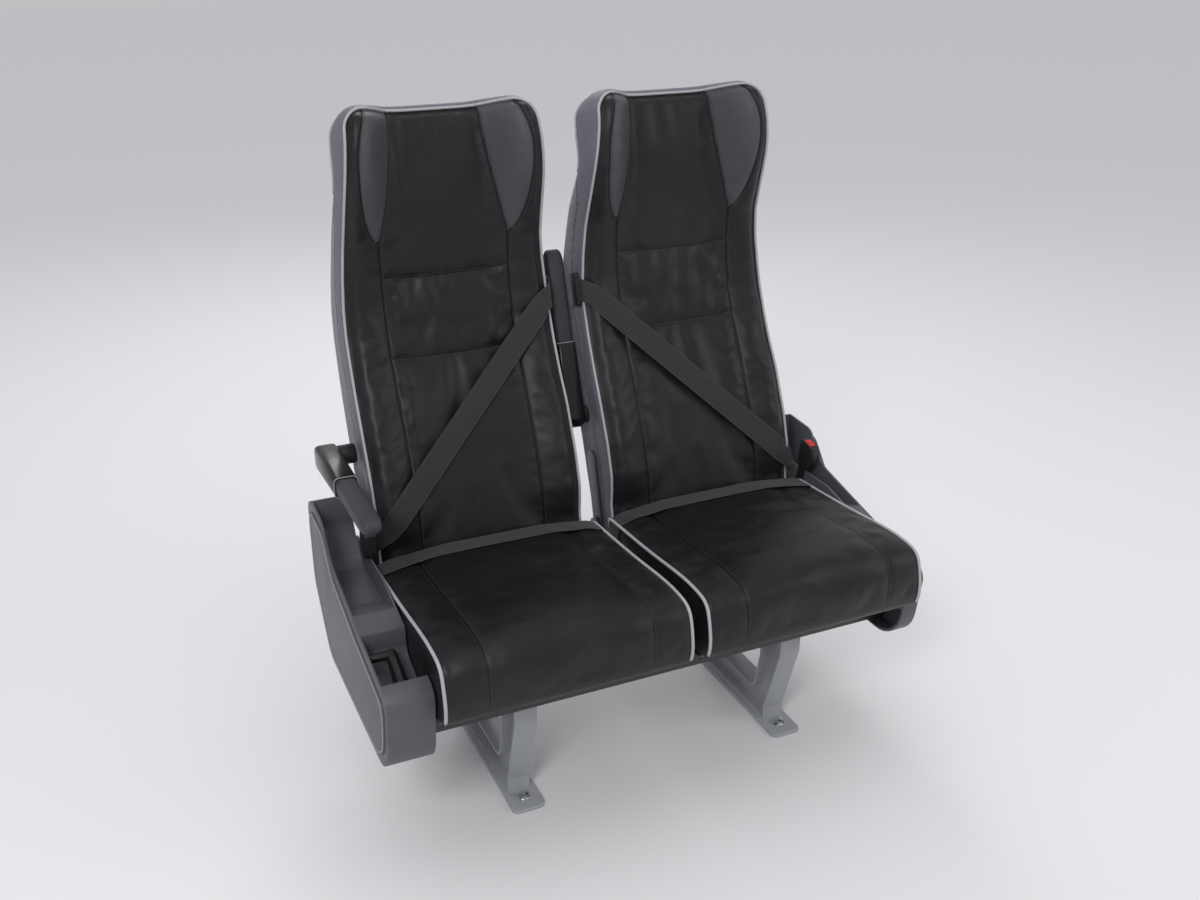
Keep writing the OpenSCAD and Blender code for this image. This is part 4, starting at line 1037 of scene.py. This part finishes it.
# The look of each kind of node, by the start of its name, and how far its edges are rounded, in mm
dressed = {
    "front_beam": ("beamPaint", 1.2), "rear_beam": ("beamPaint", 1.2), "leg_": ("legPaint", 1.4),
    "carrier_": ("beamPaint", 0.8), "pan_": ("panPaint", 0.8), "side_cover_": ("cover", 2.2),
    "lever_": ("glossBlack", 0.5), "buckle_": ("buckle", 2.5), "button_": ("red", 1.2),
    "spring_cylinder_": ("beamPaint", 0.8), "spring_rod_": ("rod", 0.4), "back_frame_": ("beamPaint", 0.8),
    "pocket_": ("moquette", 0.8), "belt_guide_": ("buckle", 1.2), "arm_boss_": ("buckle", 1.2),
    "arm_hub_": ("glossBlack", 1.5), "arm_pad_": ("armSkin", 1.5),
}
for node, body in bodyOf.items():
    for start, (look, width) in dressed.items():
        if node.startswith(start):
            softenedCopy(node, body, looks[look], width * mm)


# The points of a frame node
def nodePoints(node):
    mesh = frame["nodes"][node].data
    points = np.zeros(len(mesh.vertices) * 3, np.float32)
    mesh.vertices.foreach_get("co", points)
    return points.reshape(-1, 3).astype(float)


# The longest outline of those faces of a node whose corners all pass a test: the edges with such a face on
# one side only, walked from corner to corner, as evenly spaced points
def outlineOf(node, onFace, count):
    shape = bmesh.new()
    shape.from_mesh(frame["nodes"][node].data)
    bmesh.ops.remove_doubles(shape, verts=shape.verts, dist=nodeWeld)
    faces = {f for f in shape.faces if all(onFace(np.array(v.co)) for v in f.verts)}
    nextTo = {}
    for edge in shape.edges:
        if sum(f in faces for f in edge.link_faces) == 1:
            one, two = edge.verts
            nextTo.setdefault(one, []).append(two)
            nextTo.setdefault(two, []).append(one)
    loops, walked = [], set()
    for corner in nextTo:
        loop = []
        while corner is not None and corner not in walked:
            walked.add(corner)
            loop.append(tuple(corner.co))
            corner = next((v for v in nextTo[corner] if v not in walked), None)
        loops.append(loop)
    longest = np.array(max(loops, key=len))
    shape.free()
    return evenPath(np.concatenate([longest, longest[:1]]), count + 1)[:-1]


trim = dict(inset=5 * mm, radius=1.1 * mm, ring=0.9 * mm, grow=0.4 * mm, onFace=0.3 * mm)


# A fine raised bead on the aisle cover's outer panel: the outline of its outermost face, moved inwards and
# smoothed. Its pale colour is a painted highlight along the panel's edge
def buildCoverBead():
    outer = nodePoints("side_cover_aisle")[:, 0].min()
    loop = outlineOf("side_cover_aisle", lambda at: at[0] < outer + trim["onFace"], 360)[:, 1:]
    area = (loop[:, 0] * np.roll(loop[:, 1], -1) - loop[:, 1] * np.roll(loop[:, 0], -1)).sum()
    loop = loop + leftOf(loop, 4) * math.copysign(trim["inset"], area)
    loop = sum(np.roll(loop, k, 0) for k in range(-3, 4)) / 7
    path = np.column_stack([np.full(len(loop), outer - trim["grow"] * 0.3), loop])
    slot = slotOf["side_cover_aisle"]
    buildCords("cover_bead_aisle", [(path, trim["radius"])], (1, 0, 0), "trim", "root", slot, 8, closed=True)


# A ring round an armrest where its pad leaves the glossy hub: the outline of the hub's end, a little larger
def buildArmRing(name, way):
    end = (nodePoints(f"arm_hub_{name}") @ way).max()
    rim = outlineOf(f"arm_hub_{name}", lambda at: at @ way > end - trim["onFace"], 120)
    path = rim + unit(rim - rim.mean(0)) * trim["grow"] - way * trim["ring"]
    body, slot = bodyOf[f"arm_pad_{name}"], slotOf[f"arm_hub_{name}"]
    buildCords(f"arm_ring_{name}", [(path, trim["ring"])], way, "trim", body, slot, 8, closed=True)


buildCoverBead()
buildArmRing("aisle", np.array([0.0, -1.0, 0.0]))
buildArmRing("middle", np.array([0.0, math.sin(lean), math.cos(lean)]))

bolt = dict(
    span=330 * mm, washer=12 * mm, washerHigh=2.2 * mm, head=9.6 * mm, headHigh=7.5 * mm, sunk=0.1 * mm,
)


# A turned form round an upright axis from (radius, height) pairs. With corners its rings are polygons:
# the radius divided by the cosine of the angle from the middle of a flat.
def turned(centre, profile, corners=0, count=48):
    a = np.arange(count) * 2 * math.pi / count
    flats = np.ones(count)
    if corners:
        sector = 2 * math.pi / corners
        flats = 1 / np.cos(a % sector - sector / 2)
    circle = np.column_stack([np.cos(a) * flats, np.sin(a) * flats, 0 * a])
    rings = [circle * r + (0, 0, z) + centre for r, z in profile]
    return np.concatenate(rings), gridFaces(len(profile), count, closeCols=True)


# Floor bolts: a washer and a domed hex head over each hole of the foot plates
def buildFloorBolts():
    wide, high, across, up = bolt["washer"], bolt["washerHigh"], bolt["head"], bolt["headHigh"]
    washer = [(0, 0), (wide, 0), (wide, high - 0.5 * mm), (wide - 0.5 * mm, high), (0, high)]
    flank, dome, top = across * 0.88, across * 0.70, high + up
    head = [(0, high), (flank, high), (flank, top - 1.2 * mm), (dome, top), (0, top)]
    patches = []
    for name in sides:
        points = nodePoints(f"leg_{name}")
        x, y, z = points.T
        plateTop = z[(np.abs(y) > bolt["span"] / 2) & (z < 20 * mm)].max()
        soleX = x[z < 1 * mm]
        for end in (-1, 1):
            middle = (soleX.min() + soleX.max()) / 2
            centre = np.array([middle, end * bolt["span"] / 2, plateTop - bolt["sunk"]])
            patches += [(*turned(centre, washer), 0), (*turned(centre, head, 6), 0)]
    piece = buildPiece("floor_bolts", patches, [looks["rod"]], sharpAngle=35)
    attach(piece, "root")


buildFloorBolts()

hem = dict(halfHigh=7.5 * mm, halfThick=2.7 * mm, over=1.2 * mm, lip=1.5 * mm, sunk=1.4 * mm)


# The strip of smooth leather that binds a pocket's mouth: a flat section along the lip, leaning as the
# pocket's outer face does
def buildPocketHem(name, side):
    x, y, z = (nodePoints(f"pocket_{name}") - [0, hipY, hipZ]).T
    up, behind = y * math.sin(lean) + z * math.cos(lean), y * math.cos(lean) - z * math.sin(lean)
    lip, foot = behind[up > up.max() - 0.5 * mm].max(), behind[up < up.min() + 0.5 * mm].max()
    rise = unit(np.array([up.max() - up.min(), lip - foot]))
    s, t = np.array([up.max(), lip - hem["sunk"]]) - rise * (hem["halfHigh"] - hem["lip"])
    across = x * side - railX
    at = np.linspace(across.min() - hem["over"], across.max() + hem["over"], 40)
    path = backToWorld(side, at, s + 0 * at, t + 0 * at)
    ways = backWay(side, 0.0, *rise), backWay(side, 0.0, -rise[1], rise[0])
    section = flatSection(hem["halfHigh"], hem["halfThick"], 24, 0.45)
    patch = sweep(path, *(np.tile(way, (len(at), 1)) for way in ways), section)
    piece = buildPiece(f"pocket_hem_{name}", [(*patch, 0)], [looks["side"]])
    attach(piece, f"back_{name}")


for name, side in sides.items():
    buildPocketHem(name, side)
print("steel and mouldings dressed")

# Stage, lights and camera
studio = dict(
    floor=(0.80, 0.80, 0.81), sky=(0.90, 0.91, 0.93), horizon=0.34, zenith=0.76, seen=0.576,
    cameraAt=(-0.93, -1.95, 1.56), lookAt=(-0.02, 0.06, 0.585), lampsAt=(0, 0.05, 0.65), lens=37.5,
    # Each lamp: its name, place, width and watts
    lamps=[("key", (-2.2, -2.6, 3.0), 1.1, 56), ("fill", (2.8, -1.9, 2.1), 1.6, 16),
           ("rim", (0.6, 2.8, 2.8), 1.6, 30), ("top", (0.0, -0.3, 3.6), 2.2, 6)],
)
bpy.ops.mesh.primitive_plane_add(size=40, location=(0, 0, 0))
floor = bpy.context.object
floor.name = "studioFloor"
ground = Shade("paleFloor")
groundRough = 0.55 + ground.noise(3) * 0.1
floor.data.materials.append(ground.finish(colour=studio["floor"], rough=groundRough, specular=0.03))


# A lamp or camera at a place, looking at another
def placed(name, data, at, target):
    holder = linked(name, data)
    holder.location = at
    holder.rotation_euler = (Vector(target) - Vector(at)).to_track_quat("-Z", "Y").to_euler()
    return holder


for name, at, width, watts in studio["lamps"]:
    lamp = bpy.data.lights.new(name, "AREA")
    lamp.shape, lamp.size, lamp.energy = "SQUARE", width, watts
    placed(name, lamp, at, studio["lampsAt"])

# The sky is brighter overhead: horizon + zenith * height squared. Camera, mirrors and glass see it plain.
world = bpy.data.worlds.new("studio")
bpy.context.scene.world = world
world.use_nodes = True
sky = NodeWriter(world.node_tree)
up = sky.split(sky.node("ShaderNodeTexCoord", out="Generated"))[2]
camera, glossy, clear = (
    sky.node("ShaderNodeLightPath", out=f"Is {ray} Ray") for ray in ("Camera", "Glossy", "Transmission")
)
light = up * up * studio["zenith"] + studio["horizon"]
strength = sky.node("ShaderNodeMix", None, {0: camera.high(glossy.high(clear)), 2: light, 3: studio["seen"]})
background = world.node_tree.nodes["Background"]
sky.feed(background.inputs["Color"], studio["sky"])
sky.feed(background.inputs["Strength"], strength)

lens = bpy.data.cameras.new("camera")
lens.lens, lens.sensor_width = studio["lens"], 36
bpy.context.scene.camera = placed("camera", lens, studio["cameraAt"], studio["lookAt"])
bpy.context.scene.view_settings.view_transform = "Standard"
print("stage set")
